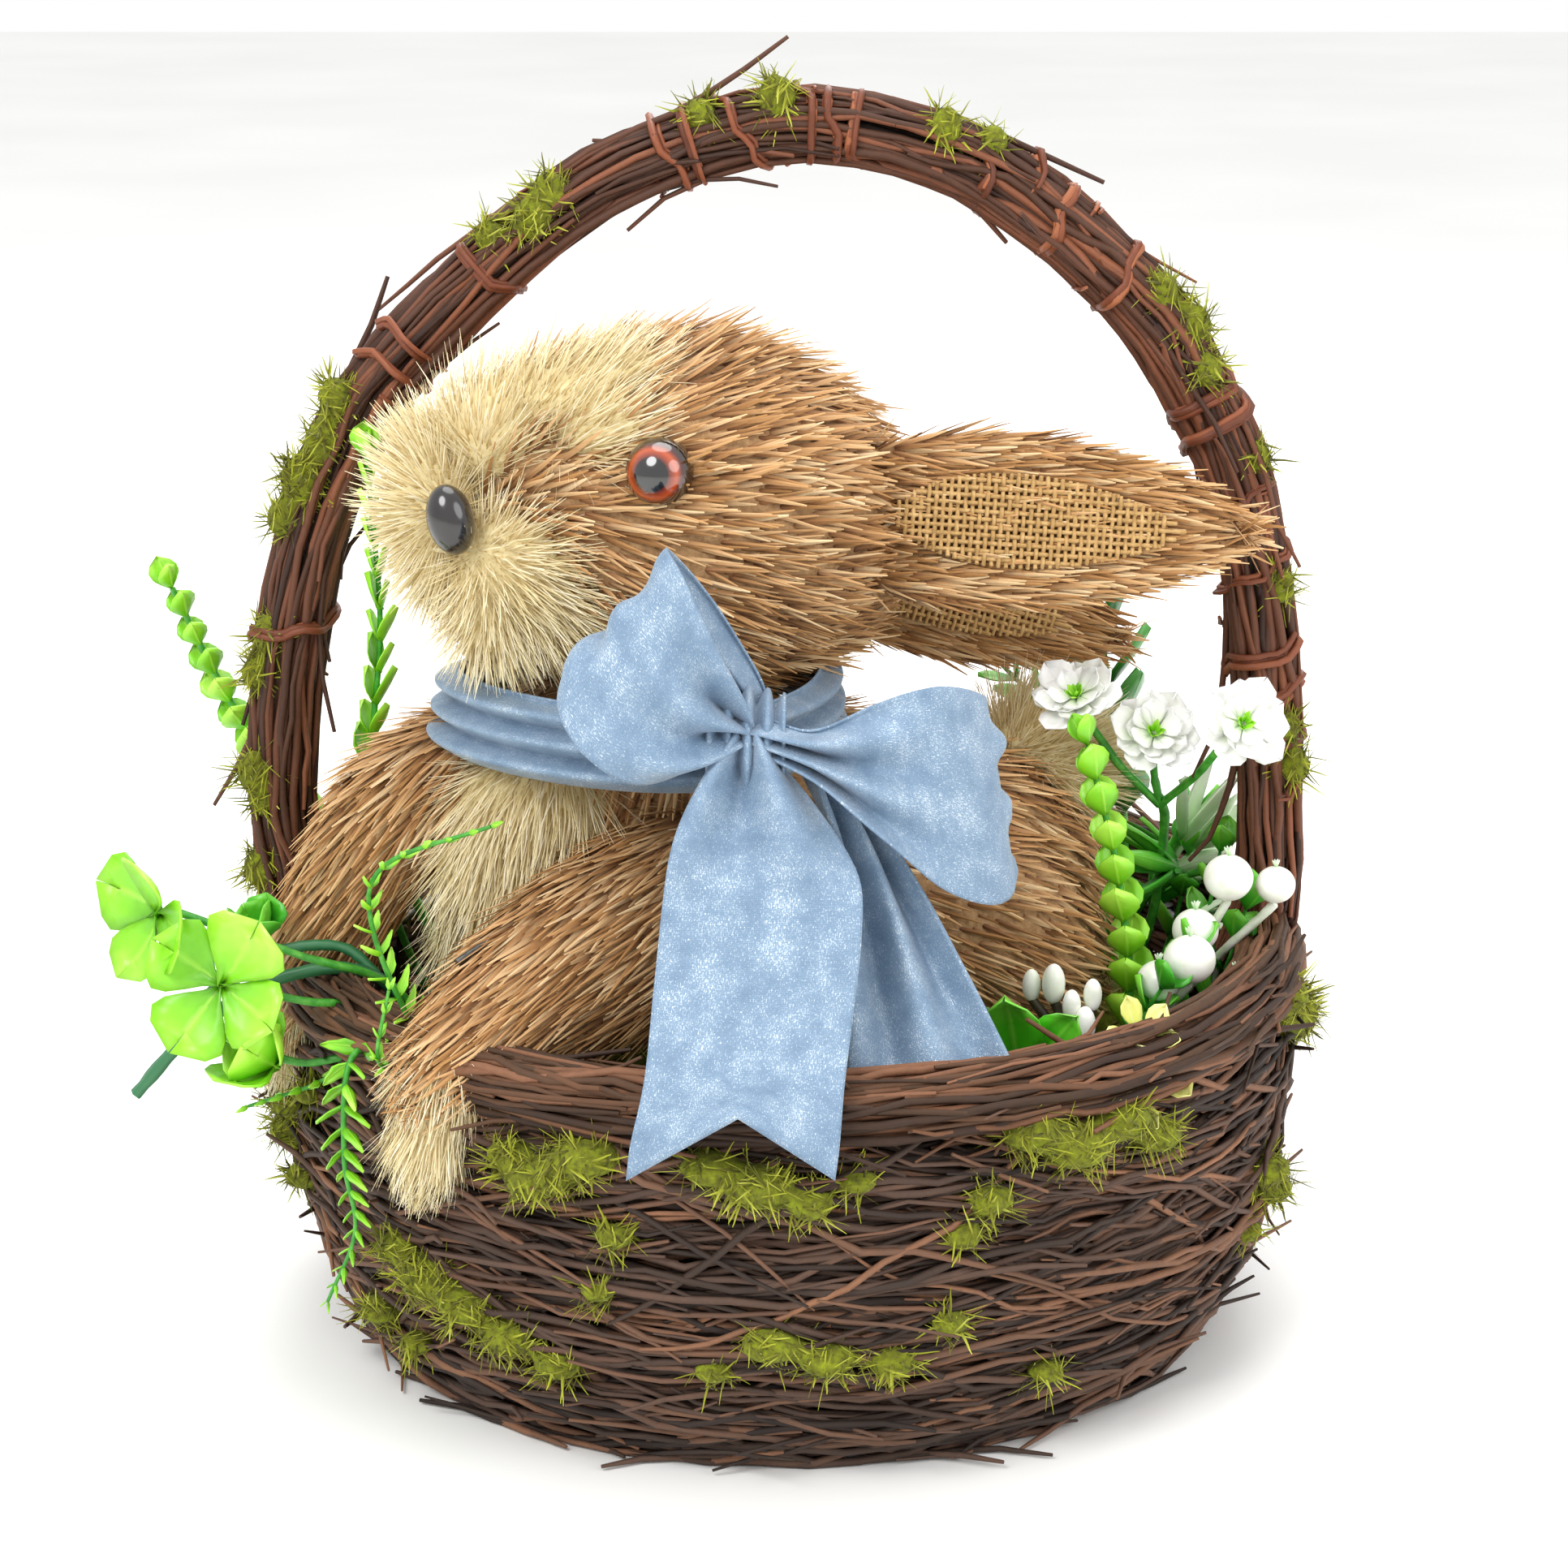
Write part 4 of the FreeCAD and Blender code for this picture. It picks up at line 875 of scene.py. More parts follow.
ties = {
    "handle_tie_left": [(0.30, 2.3, 0.030, 0.0), (0.17, 1.4, 0.045, 0.3), (0.36, 1.2, 0.02, 0.6)],
    "handle_tie_top": [(0.455, 2.2, 0.022, 0.1), (0.49, 1.5, 0.05, 0.4), (0.52, 3.2, 0.034, 0.2),
                       (0.60, 1.3, 0.03, 0.7), (0.63, 1.6, 0.016, 0.3)],
    "handle_tie_right": [(0.665, 1.4, 0.020, 0.1), (0.74, 2.2, 0.03, 0.5), (0.80, 1.6, 0.05, 0.8),
                         (0.86, 2.5, 0.05, 0.2), (0.90, 1.4, 0.03, 0.6)],
}
for node, windings in ties.items():
    coils = [twigs_along(node, wound_vine(part, count, reach, slip=slip), count=3, points=int(count * 22),
                         radius=0.0010, tube=0.0012, first=0.5, last=0.5, run_low=0.9, run_high=1.0,
                         deep_low=0.0, deep_high=1.0, wobble=0.0022, seed=int(part * 100), material=vine)
             for part, count, reach, slip in windings]
    keep(node + "_vine", merged(node, coils), [node])

# %% [markdown]
# ## Moss
# Dried moss is a tangle of short curled strands. Pads of it are glued on the handle, rim and wall,
# and a thick bed covers the foam that the sprigs are pushed into.

# %% Moss pads
def moss_pads(name, pads, seed, density=0.62, length=6.5):
    """Pads given as (centre, radii) in millimetres."""
    base = balls(name, pads, moss_under, 0.0016)

    def way(p):
        return math.sin(p.x * 0.7 + p.z), math.cos(p.z * 0.9), math.sin(p.y + p.x * 0.4)

    return furred(name, base, way, moss_curl, moss, density, length, 0.62, 0.14, 0.9, seed)


def on_wall(angle, height, out=0.0):
    """A point on the outside of the wall, in millimetres."""
    radius = WALL_CENTRE + math.sqrt(WALL_CURVE ** 2 - (height - BELLY) ** 2) + out
    turn = math.radians(angle)
    return (radius * math.cos(turn), radius * math.sin(turn), height)


def wall_pads(places):
    return [(on_wall(a, z, 0.5), (r, r, r * 0.6)) for a, z, r in places]


def on_handle(part, forward, sideways):
    spot, way, front, side = handle_frame(part)
    return tuple((spot + front * forward * 0.001 + side * sideways * 0.001) * 1000)


def handle_pads(places):
    return [(on_handle(p, f, s), (r, 3.2, r * 1.2)) for p, f, s, r in places]


# Painted shade: the sheet under the moss strands is darker than the moss, for the shade among deeper strands.
moss_under = plain_finish("moss_felt", [(0.2, "3c3c0c"), (0.5, "6c7212"), (0.8, "8c9a18")], 500.0, 0.9, 0.8)
left_pads = handle_pads([
    (0.215, 4, -7, 5), (0.235, 5, -6, 6), (0.255, 6, -5, 5), (0.275, 5, -7, 5), (0.165, 5, -5, 4.5),
    (0.15, 5, -7, 4), (0.105, 6, -6, 5), (0.09, 5, -4, 4.5), (0.06, 4, -7, 5), (0.40, 6, -5, 5),
    (0.385, 7, -3, 5), (0.37, 5, -6, 4)])
right_pads = handle_pads([
    (0.47, 5, -6, 4.5), (0.50, 6, -7, 5), (0.57, 6, -6, 4.5), (0.59, 5, -7, 4), (0.68, 6, -5, 4.5),
    (0.70, 5, -6, 5), (0.72, 7, -4, 4), (0.765, 5, -6, 4), (0.82, 6, -6, 4), (0.885, 7, -4, 4),
    (0.905, 5, -6, 4.5)])
wall_left = wall_pads([
    (249, 80, 8), (246, 76, 7), (243, 72, 7), (240, 77, 6), (252, 62, 5), (228, 40, 8), (233, 36, 7),
    (238, 31, 7), (244, 26, 6), (223, 45, 6), (196, 62, 7), (193, 52, 7), (199, 45, 6), (204, 70, 5),
    (191, 70, 5), (250, 48, 4.5), (215, 22, 6), (221, 17, 5)])
wall_right = wall_pads([
    (262, 80, 7), (267, 76, 8), (272, 72, 6), (277, 77, 5), (296, 84, 8), (301, 79, 9), (307, 82, 8),
    (312, 76, 7), (291, 70, 6), (288, 62, 5), (345, 88, 9), (350, 80, 9), (354, 74, 7), (337, 50, 7),
    (341, 42, 7), (334, 36, 5), (268, 38, 7), (274, 34, 7), (281, 32, 6), (287, 41, 5), (262, 30, 5),
    (300, 22, 5),
    (30, 80, 8), (55, 60, 7), (88, 76, 8), (120, 40, 7), (150, 74, 8), (170, 40, 6)])
for side, pads, seed in [("left", left_pads, 3), ("right", right_pads, 5)]:
    keep("handle_moss_%s_tufts" % side, moss_pads("moss_" + side, pads, seed), ["handle_moss_" + side])
for side, pads, seed, density in [("left", wall_left, 7, 0.6), ("right", wall_right, 9, 0.42)]:
    keep("wall_moss_%s_tufts" % side, moss_pads("moss_w" + side, pads, seed, density),
         ["wall_moss_" + side])
bed = balls("bed", [((0, 0, 66), (94, 94, 12))] +
            [((66 * math.cos(a), 66 * math.sin(a), 72), (26, 26, 9)) for a in np.arange(0, 6.2, 0.7)],
            moss_under, 0.003)
bed = furred("bed", bed, lambda p: (math.sin(p.y * 0.3), math.cos(p.x * 0.3), 0.2), moss_curl, moss,
             0.055, 13, 1.1, 0.6, 0.8, 4)
keep("moss_bed_tangle", bed, ["moss_bed"])

# %% [markdown]
# ## The rabbit
# Cut straw is glued in rows over carved foam, so it lies flat and points away from the face, down
# the chest and back along the ears. The muzzle, blaze, chest, paws and tail are softer pale sisal.

# %% Straw body
def straw_coat(name, form, way, node, *numbers):
    return keep(name, furred(name, form, way, straw_blade, straw, *numbers), [node])


# Painted shade: the sheet under the straws is darker than the straw, for the shade among deeper strands.
straw_under = plain_finish("straw_glue_coat", [(0.2, "7a5a38"), (0.5, "9c7850"), (0.8, "b8946a")],
                           600.0, 0.85, 0.8)
# Painted shade: the sheet under the sisal is a little darker than the sisal, for the shade among deeper hairs.
sisal_under = plain_finish("sisal_backing", [(0.2, "c8b47c"), (0.8, "e6d9ac")], 600.0, 0.85, 0.6)


def body_way(p):
    if p.x < -20:
        return Vector((-0.25, 0.1, -1.0)) + (p - Vector((-33, -17, 120))) * 0.006
    return Vector((1.0, 0.15, -0.42)) + (p - Vector((20, 0, 110))) * 0.006


torso = [((-33, -17, 118), (42, 38, 46)), ((-34, -17, 146), (34, 33, 24)), ((30, 4, 104), (47, 41, 41)),
         ((2, -8, 112), (40, 38, 42)), ((44, -22, 98), (32, 25, 30)), ((-30, -40, 112), (24, 22, 26)),
         ((-62, -14, 122), (24, 22, 26))]
body = balls("body", torso, straw_under)
straw_coat("body_straw", body, body_way, "body_coat", 0.13, 13, 1.6, 0.13, 0.22, 21)

# %% Straw head
NOSE = (-78, -50, 212)
skull = [((-25, -15, 204), (49, 43, 42)), ((-44, -22, 206), (36, 33, 36)), ((-6, -8, 200), (33, 33, 38)),
         ((-58, -32, 196), (24, 20, 22))]
head = balls("head", skull, straw_under)
straw_coat("head_straw", head, away_from(*NOSE), "head_coat", 0.19, 13.5, 1.55, 0.18, 0.24, 31)

# %% Pale sisal face, chest, tail
def sisal_patch(name, parts, way, nodes, density=0.55, length=10.0, lift=0.9, spread=0.3, seed=1, width=0.42):
    patch = furred(name, balls(name, parts, sisal_under, 0.0016), way, sisal_hair, sisal, density, length,
                   width, lift, spread, seed)
    return keep(name, patch, nodes)


sisal_patch("muzzle_sisal_near", [((-63, -49, 198), (13, 12, 13)), ((-56, -45, 190), (13, 11, 12)),
                                  ((-66, -44, 186), (12, 11, 11))],
            away_from(-74, -56, 204), ["muzzle_near"], 0.9, 11, 1.3, 0.4, 41)
sisal_patch("muzzle_sisal_far", [((-82, -40, 210), (11, 12, 13)), ((-83, -36, 220), (9, 10, 9)),
                                 ((-78, -38, 198), (11, 11, 10))],
            away_from(-74, -52, 211), ["muzzle_far"], 0.9, 10, 1.0, 0.3, 42)
sisal_patch("blaze_sisal", [((-66, -36, 226), (15, 12, 13)), ((-52, -36, 234), (17, 12, 9)),
                            ((-42, -44, 226), (13, 7, 10)), ((-40, -30, 240), (12, 12, 5))],
            away_from(-74, -50, 210), ["muzzle_bridge"], 0.6, 12, 0.7, 0.3, 43)
sisal_patch("chest_sisal", [((-58, -44, 136), (19, 11, 18)), ((-62, -42, 120), (20, 12, 20)),
                            ((-66, -38, 102), (17, 10, 16))],
            lambda p: (-0.2, -0.1, -1.0), ["chest_patch"], 0.6, 15, 0.4, 0.25, 44)
sisal_patch("tail_sisal", [((68, 14, 134), (11, 13, 12)), ((60, 14, 140), (12, 12, 9))],
            away_from(48, 8, 130), ["tail_puff"], 1.1, 13, 1.6, 0.4, 45)

# %% Ears
def ear_form(name, root, tip, width, thick, face, finish):
    """A long flat ear, widest in its first half and drawn in at both ends."""
    start, end, face = mm(*root), mm(*tip), Vector(face).normalized()
    way = (end - start).normalized()
    side = way.cross(face).normalized()
    points, faces = [], []
    rows, ring = 16, 20
    for row in range(rows + 1):
        x = row / rows
        half = width * 0.0005 * max(math.sin(math.pi * (0.10 + 0.90 * x) ** 0.75) ** 0.55, 0.12)
        deep = thick * 0.0005 * (0.35 + 0.65 * math.sin(math.pi * (0.08 + 0.92 * x) * 0.96))
        for column in range(ring):
            turn = 2 * math.pi * column / ring
            u, v = math.cos(turn), math.sin(turn)
            cup = 0.10 * width * 0.001 * (u * u)
            points.append(start + way * (end - start).length * x + side * half * u + face * (deep * v + cup))
    for row in range(rows):
        for column in range(ring):
            a, b = row * ring + column, row * ring + (column + 1) % ring
            faces.append((a, b, b + ring, a + ring))
    faces += [tuple(reversed(range(ring))), tuple(range(rows * ring, (rows + 1) * ring))]
    mesh = mesh_from(name, points, faces)
    bm = bmesh.new()
    bm.from_mesh(mesh)
    bmesh.ops.recalc_face_normals(bm, faces=bm.faces)
    bm.to_mesh(mesh)
    bm.free()
    mesh.materials.append(finish)
    return mesh


NEAR_EAR = dict(root=(16, -22, 204), tip=(103, -31, 203))
FAR_EAR = dict(root=(4, 14, 188), tip=(80, 24, 164))
near_face, far_face = (0.05, -1, 0.12), (0.1, -1, 0.2)
near = ear_form("ear_near", NEAR_EAR["root"], NEAR_EAR["tip"], 40, 9, near_face, straw_under)
far = ear_form("ear_far", FAR_EAR["root"], FAR_EAR["tip"], 34, 9, far_face, straw_under)
ear_way = mm(*NEAR_EAR["tip"]) - mm(*NEAR_EAR["root"])
far_way = mm(*FAR_EAR["tip"]) - mm(*FAR_EAR["root"])
straw_coat("ear_near_straw", near, lambda p: ear_way, "ear_near_coat", 0.42, 12, 1.5, 0.1, 0.18, 51)
straw_coat("ear_far_straw", far, lambda p: far_way, "ear_far_coat", 0.38, 12, 1.5, 0.1, 0.18, 52)


def burlap_panel(name, root, tip, width, face, node):
    """Coarse woven burlap: threads over and under each other along and across the ear."""
    start, end, face = mm(*root), mm(*tip), Vector(face).normalized()
    way = (end - start).normalized()
    side = way.cross(face).normalized()
    long = (end - start).length

    def half_at(x):
        return width * 0.0005 * max(math.sin(math.pi * min(max(x, 0), 1) ** 0.8), 0) ** 0.7

    meshes = []
    pitch = 0.0017
    count = int(long / pitch)
    for i in range(1, count):
        x = i / count
        half = half_at(x)
        if half < 0.003:
            continue
        steps = max(int(2 * half / pitch), 2) * 2
        line = [start + way * long * x + side * half * (2 * j / steps - 1)
                + face * (0.00045 * math.cos(math.pi * (j / 2 + i)) + 0.0010) for j in range(steps + 1)]
        meshes.append(line)
    wide = int(width * 0.001 / pitch)
    for j in range(wide + 1):
        u = (j / wide - 0.5) * width * 0.001
        span = [x / 60 for x in range(61) if half_at(x / 60) > abs(u)]
        if len(span) < 4:
            continue
        line = [start + way * long * x + side * u
                + face * (-0.00045 * math.cos(math.pi * (x * count + j)) + 0.0010)
                for x in np.linspace(span[0], span[-1], int((span[-1] - span[0]) * count * 2) + 2)]
        meshes.append(line)
    points, edges = [], []
    for line in meshes:
        edges += [(len(points) + k, len(points) + k + 1) for k in range(len(line) - 1)]
        points += line
    guide = stand(name, mesh_from(name, points, [], edges))
    made = grow(name, guide, thread_tree, radius=0.00055, material=burlap)
    clear_away(guide)
    keep(name, made, [node])


def make_thread_tree():
    t, n = new_tree("threads from lines", lines="g", radius="f", material="m")
    lines = t.node("GeometryNodeMeshToCurve", None, {"Mesh": n["lines"]})
    noise = t.noise(t.node("GeometryNodeInputPosition"), 900.0, 2.0)
    tube = round_tube(t, lines, n["radius"] * (0.7 + noise * 0.6), 5)
    return finish_tree(t, tube, n["material"])


thread_tree = make_thread_tree()
burlap_panel("ear_near_burlap", (24, -28.5, 206), (92, -35.5, 203), 22, near_face, "ear_near_lining")
burlap_panel("ear_far_burlap", (12, 7, 187), (70, 15, 168), 18, far_face, "ear_far_lining")

# %% Arms and paws
def arm(name, line, radii, seed, density):
    points = even_line(smooth_line(line), 14)
    sizes = np.interp(np.linspace(0, 1, 14), np.linspace(0, 1, len(radii)), radii)
    parts = [(tuple(p * 1000), (r, r, r)) for p, r in zip(points, sizes)]
    way = Vector(line[-1]) - Vector(line[0])
    form = balls(name, parts, straw_under)
    return furred(name, form, lambda p: way, straw_blade, straw, density * 0.7, 14, 1.5, 0.1, 0.18, seed)


near_arm = [(-26, -46, 116), (-42, -62, 110), (-60, -76, 102), (-74, -90, 93)]
far_arm = [(-76, -16, 138), (-92, -20, 131), (-106, -26, 112), (-114, -30, 92)]
keep("arm_near_straw", arm("arm_near", near_arm, [24, 22, 18, 13], 61, 0.36), ["arm_near"])
keep("arm_far_straw", arm("arm_far", far_arm, [18, 16, 13, 11], 62, 0.45), ["arm_far"])
sisal_patch("paw_sisal_near", [((-78, -94, 88), (10, 9, 12)), ((-81, -97, 76), (8.5, 8, 10))],
            lambda p: (-0.3, -0.3, -1.0), ["paw_near"], 0.9, 10, 0.3, 0.2, 63)
sisal_patch("paw_sisal_far", [((-118, -32, 86), (8, 8, 10)), ((-121, -34, 76), (7, 7, 8))],
            lambda p: (-0.2, 0.0, -1.0), ["paw_far"], 0.9, 10, 0.3, 0.2, 64)

# %% Eyes and nose
def eye_finish(name, centre, axis):
    f = Finish(name, Roughness=0.12, Coat_Weight=1.0, Coat_Roughness=0.03, Specular_IOR_Level=0.7)
    where = f.place() - tuple(mm(*centre))
    off = where.apply("cross_product", tuple(Vector(axis).normalized()))
    far = f.node("ShaderNodeVectorMath", {"operation": "LENGTH"}, {0: off}, "Value") / 0.0075
    streak = f.noise(f.place(), 900.0, 2.0)
    f.set("Base_Color", f.ramp(far + streak * 0.05 - 0.025,
                               [(0.0, "040303"), (0.5, "050303"), (0.56, "6a2410"), (0.74, "b0481c"),
                                (0.86, "4a180a"), (0.95, "120806")]))
    f.set("Roughness", 0.10 + streak * 0.08)
    return f.material


def smooth_ball(name, centre, radii, finish, divisions=5, turn=0):
    mesh = ball_mesh(name, [(centre, radii)], divisions, turn)
    for face in mesh.polygons:
        face.use_smooth = True
    mesh.materials.append(finish)
    return mesh


near_eye, far_eye = (-29, -55, 221), (-66, 8, 221)
for side, centre, size, axis, name in [("near", near_eye, 7.8, (-0.25, -1, 0.1), "amber_eye"),
                                       ("far", far_eye, 7.5, (-0.6, 1, 0.1), "amber_eye_far")]:
    glass = smooth_ball("eye", centre, (size, size, size), eye_finish(name, centre, axis))
    keep("eye_%s_glass" % side, glass, ["eye_" + side])
nose_gloss = plain_finish("black_nose", [(0.2, "0c0a0a"), (0.8, "221d1c")], 120.0, 0.12, 0.1, Coat_Weight=0.8,
                          Coat_Roughness=0.1)
button = smooth_ball("nose", (-76, -60, 211), (5.4, 5.5, 8.2), nose_gloss, turn=-12)
keep("nose_gloss_button", button, ["nose_button"])

# %% [markdown]
# ## Ribbon
# One width of stiff wired ribbon makes the band, the two loops and the tails. Each piece is laid
# between its two edges, gathered where the knot grips it, and has its weave in real units.

# %% Ribbon pieces
RIBBON = 0.045


def wave_for(fullness):
    """Slope of a sine wave whose length is fullness times its run."""
    low, high = 0.0, 12.0
    for attempt in range(30):
        slope = (low + high) / 2
        mean = sum(math.sqrt(1 + (slope * math.cos(math.pi * (i + 0.5) / 32)) ** 2) for i in range(32)) / 32
        low, high = (slope, high) if mean < fullness else (low, slope)
    return (low + high) / 2


def lay_ribbon(name, first, second, node, folds=2.0, used=0.92, rows=48, columns=48,
               closed=False, notch=0.0, deepest=0.0045):
    """Ribbon between two edge lines. Gathers across it take up the rest of its flat width."""
    a, b = even_line(first, rows + 1), even_line(second, rows + 1)
    if closed:
        a[-1], b[-1] = a[0], b[0]
    middle = [(p + q) / 2 for p, q in zip(a, b)]
    long = sum((q - p).length for p, q in zip(middle, middle[1:]))
    points, spots = [], []
    for row in range(rows + 1):
        x = row / rows
        along = (middle[min(row + 1, rows)] - middle[max(row - 1, 0)]).normalized()
        normal = along.cross((b[row] - a[row]).normalized())
        wide = (b[row] - a[row]).length
        slope = wave_for(max(1.0, used * RIBBON / max(wide, 0.004)))
        depth = min(deepest, slope * wide / (2 * math.pi * folds))
        for column in range(columns + 1):
            u = column / columns
            ripple = depth * math.sin(2 * math.pi * folds * u + 0.9)
            cut = -along * notch * (1 - abs(2 * u - 1)) * max(0, x - 0.8) * 5
            points.append(a[row].lerp(b[row], u) + normal * ripple + cut)
            spots.append((u * RIBBON, x * long))
    faces = [(r * (columns + 1) + c, r * (columns + 1) + c + 1, (r + 1) * (columns + 1) + c + 1,
              (r + 1) * (columns + 1) + c) for r in range(rows) for c in range(columns)]
    mesh = mesh_from(name, points, faces)
    layer = mesh.uv_layers.new(name="UVMap")
    for loop in mesh.loops:
        layer.data[loop.index].uv = spots[loop.vertex_index]
    mesh.materials.append(ribbon_cloth)
    item = stand(name, mesh)
    if closed:
        weld = item.modifiers.new("weld", "WELD")
        weld.merge_threshold = 0.00002
    thick = item.modifiers.new("thick", "SOLIDIFY")
    thick.thickness, thick.offset = 0.0006, 0
    made = evaluated(item)
    clear_away(item)
    for face in made.polygons:
        face.use_smooth = True
    piece = keep(name, made, [node])
    area = sum(p.area for p in made.polygons) / 2
    print("   cloth across %.1f mm, flat %.1f mm, along %.0f mm" %
          (area / long * 1000, RIBBON * 1000, long * 1000))
    return piece


def ring_line(centre, radii, height, swell):
    """An oval line round the neck, fuller towards the front left."""
    line = []
    for step in range(97):
        a = 2 * math.pi * step / 96
        out = 1 + swell * max(0, math.cos(a - math.radians(235)))
        line.append(mm(centre[0] + radii[0] * out * math.cos(a), centre[1] + radii[1] * out * math.sin(a),
                       height + 2 * math.sin(a * 2)))
    return line


NECK = (-34, -18)
lay_ribbon("neck_band_ribbon", ring_line(NECK, (44, 44), 168, 0.10), ring_line(NECK, (46, 46), 150, 0.14),
           "neck_band", folds=3, used=0.82, rows=96, columns=40,
           closed=True)
knot_ring = [(2 * math.pi * i / 48) for i in range(49)]
lay_ribbon("bow_knot_ribbon",
           [mm(-18, -82 + 10.5 * math.cos(a), 166 + 10.5 * math.sin(a)) for a in knot_ring],
           [mm(-1, -82 + 10.5 * math.cos(a), 164 + 10.5 * math.sin(a)) for a in knot_ring],
           "bow_knot", folds=4, used=0.9, closed=True)
left_upper = [(-10, -90, 173), (-16, -96, 190), (-22, -95, 204), (-26, -87, 210), (-20, -80, 201),
              (-12, -76, 187), (-6, -77, 176), (-6, -79, 170)]
left_lower = [(-12, -90, 168), (-22, -98, 162), (-34, -102, 161), (-45, -101, 168), (-51, -94, 178),
              (-48, -86, 185), (-36, -76, 185), (-22, -74, 176), (-10, -78, 168)]
right_upper = [(-7, -90, 172), (5, -94, 171), (19, -95, 177), (32, -90, 180), (42, -80, 176), (46, -73, 170),
               (38, -69, 165), (24, -70, 163), (5, -74, 165)]
right_lower = [(-6, -90, 166), (7, -97, 160), (21, -100, 148), (34, -98, 136), (46, -91, 130), (51, -82, 132),
               (46, -76, 140), (29, -70, 146), (11, -72, 153), (-2, -76, 163)]
front_left = [(-12, -90, 168), (-20, -97, 158), (-26, -104, 145), (-29, -115, 122), (-31, -128, 103),
              (-34, -134, 90), (-35, -135, 82)]
front_right = [(-5, -90, 168), (6, -97, 156), (15, -104, 142), (16, -110, 130), (14, -119, 114),
               (12, -129, 101), (11, -134, 90), (10, -135, 82)]
rear_left = [(3, -84, 160), (10, -90, 140), (12, -98, 116), (13, -113, 93)]
rear_right = [(10, -80, 158), (28, -86, 133), (39, -94, 115), (50, -108, 97)]
for name, first, second, node, held, below, folds, notch in [
        ("bow_loop_left_ribbon", left_upper, left_lower, "bow_loop_left", "gathered", "body_straw", 2.5, 0),
        ("bow_loop_right_ribbon", right_upper, right_lower, "bow_loop_right", "gathered", "body_straw",
         2.5, 0),
        ("ribbon_tail_front_cloth", front_left, front_right, "ribbon_tail_front", "hung", "rim_twigs",
         1.6, 0.014),
        ("ribbon_tail_rear_cloth", rear_left, rear_right, "ribbon_tail_rear", "hung", "rim_twigs", 2.0, 0)]:
    lay_ribbon(name, smooth_line(first), smooth_line(second), node,
               folds=folds, used=0.95, notch=notch)

# %% [markdown]
# ## Sprigs
# Plastic sprigs, berries and flowers on moulded stems, pushed into the foam through the moss.

# %% Sprig helpers
def stem(name, line, radius, finish):
    """A round stem along a line."""
    guide = guide_object(name, line)
    made = grow(name, guide, thread_tree, radius=radius * 0.001, material=finish)
    clear_away(guide)
    return made


def leafy(name, points, leaf_item, pairs, size, finish, stalk, start=0.2, splay=0.95, taper=0.4, roll=0.0,
          turn=0.15, seed=1, thick=1.0):
    guide = guide_object(name, even_line(smooth_line(points), 40))
    made = grow(name, guide, leafy_tree, leaf=leaf_item, pairs=pairs, start=start, size=size * 0.001,
                splay=splay, taper=taper, roll=roll, turn=turn, stem_radius=thick * 0.001, seed=seed, leaf_finish=finish,
                stem_finish=stalk)
    clear_away(guide)
    return made


def placed(template, spot, way, face, size, finish, tone=0.5, wide=1.0):
    """One leaf or petal with its foot at spot, its length along way and its upper side to face."""
    way, face = Vector(way).normalized(), Vector(face)
    face = (face - way * face.dot(way)).normalized()
    side = way.cross(face)
    turn = Matrix((face, side, way)).transposed().to_4x4()
    mesh = template.data.copy()
    grown = Matrix.Diagonal([size * 0.001, size * wide * 0.001, size * 0.001, 1])
    mesh.transform(Matrix.Translation(spot) @ turn @ grown)
    mesh.materials.clear()
    mesh.materials.append(finish)
    mesh.attributes.new("tone", "FLOAT", "POINT").data.foreach_set("value", [tone] * len(mesh.vertices))
    return mesh


def spread_round(spot, axis, count, size, lean, template, finish, phase=0.0, wide=1.0):
    """Petals or leaflets in a ring about axis. lean is 0 along the axis and 1 flat open."""
    axis = Vector(axis).normalized()
    side = axis.orthogonal().normalized()
    other = axis.cross(side)
    made = []
    for number in range(count):
        turn = 2 * math.pi * (number + phase) / count
        out = side * math.cos(turn) + other * math.sin(turn)
        tilt = lean + 0.12 * math.sin(number * 2.7 + phase * 5)
        way = axis * math.cos(tilt * math.pi / 2) + out * math.sin(tilt * math.pi / 2)
        face = axis * math.sin(tilt * math.pi / 2) - out * math.cos(tilt * math.pi / 2)
        grown = size * (1 + 0.08 * math.sin(number * 4.1))
        made.append(placed(template, spot, way, face, grown, finish, (number * 0.37 + phase) % 1, wide))
    return made


def foot(x, y):
    return (x * 0.97, y * 0.97, 62)


def through(points, count):
    return even_line(smooth_line(points), count)


# %% Left side sprigs
for node, line, pairs, size, numbers, way in [
        ("round_leaf_sprig_left",
         [foot(-84, 16), (-97, 19, 100), (-120, 21, 117), (-138, 18, 146), (-152, 15, 178)],
         13, 14.5, (0.30, 0.95, 0.5, 0.0, 0.05, 3, 1.5), (-0.4, 0, 1)),
        ("round_leaf_sprig_tall",
         [foot(-86, 4), (-98, 1, 98), (-102, 0, 138), (-99, -2, 174), (-100, -12, 216)],
         15, 12.5, (0.28, 0.55, 0.4, 0.3, 0.12, 5, 1.2), (0, 0, 1))]:
    made = leafy(node, line, round_leaf, pairs, size, lime, stem_green, *numbers)
    last = placed(round_leaf, mm(*line[-1]), way, (0, -1, 0), 9, lime, 0.6)
    keep(node + "_leaves", merged(node, [made, last]), [node])

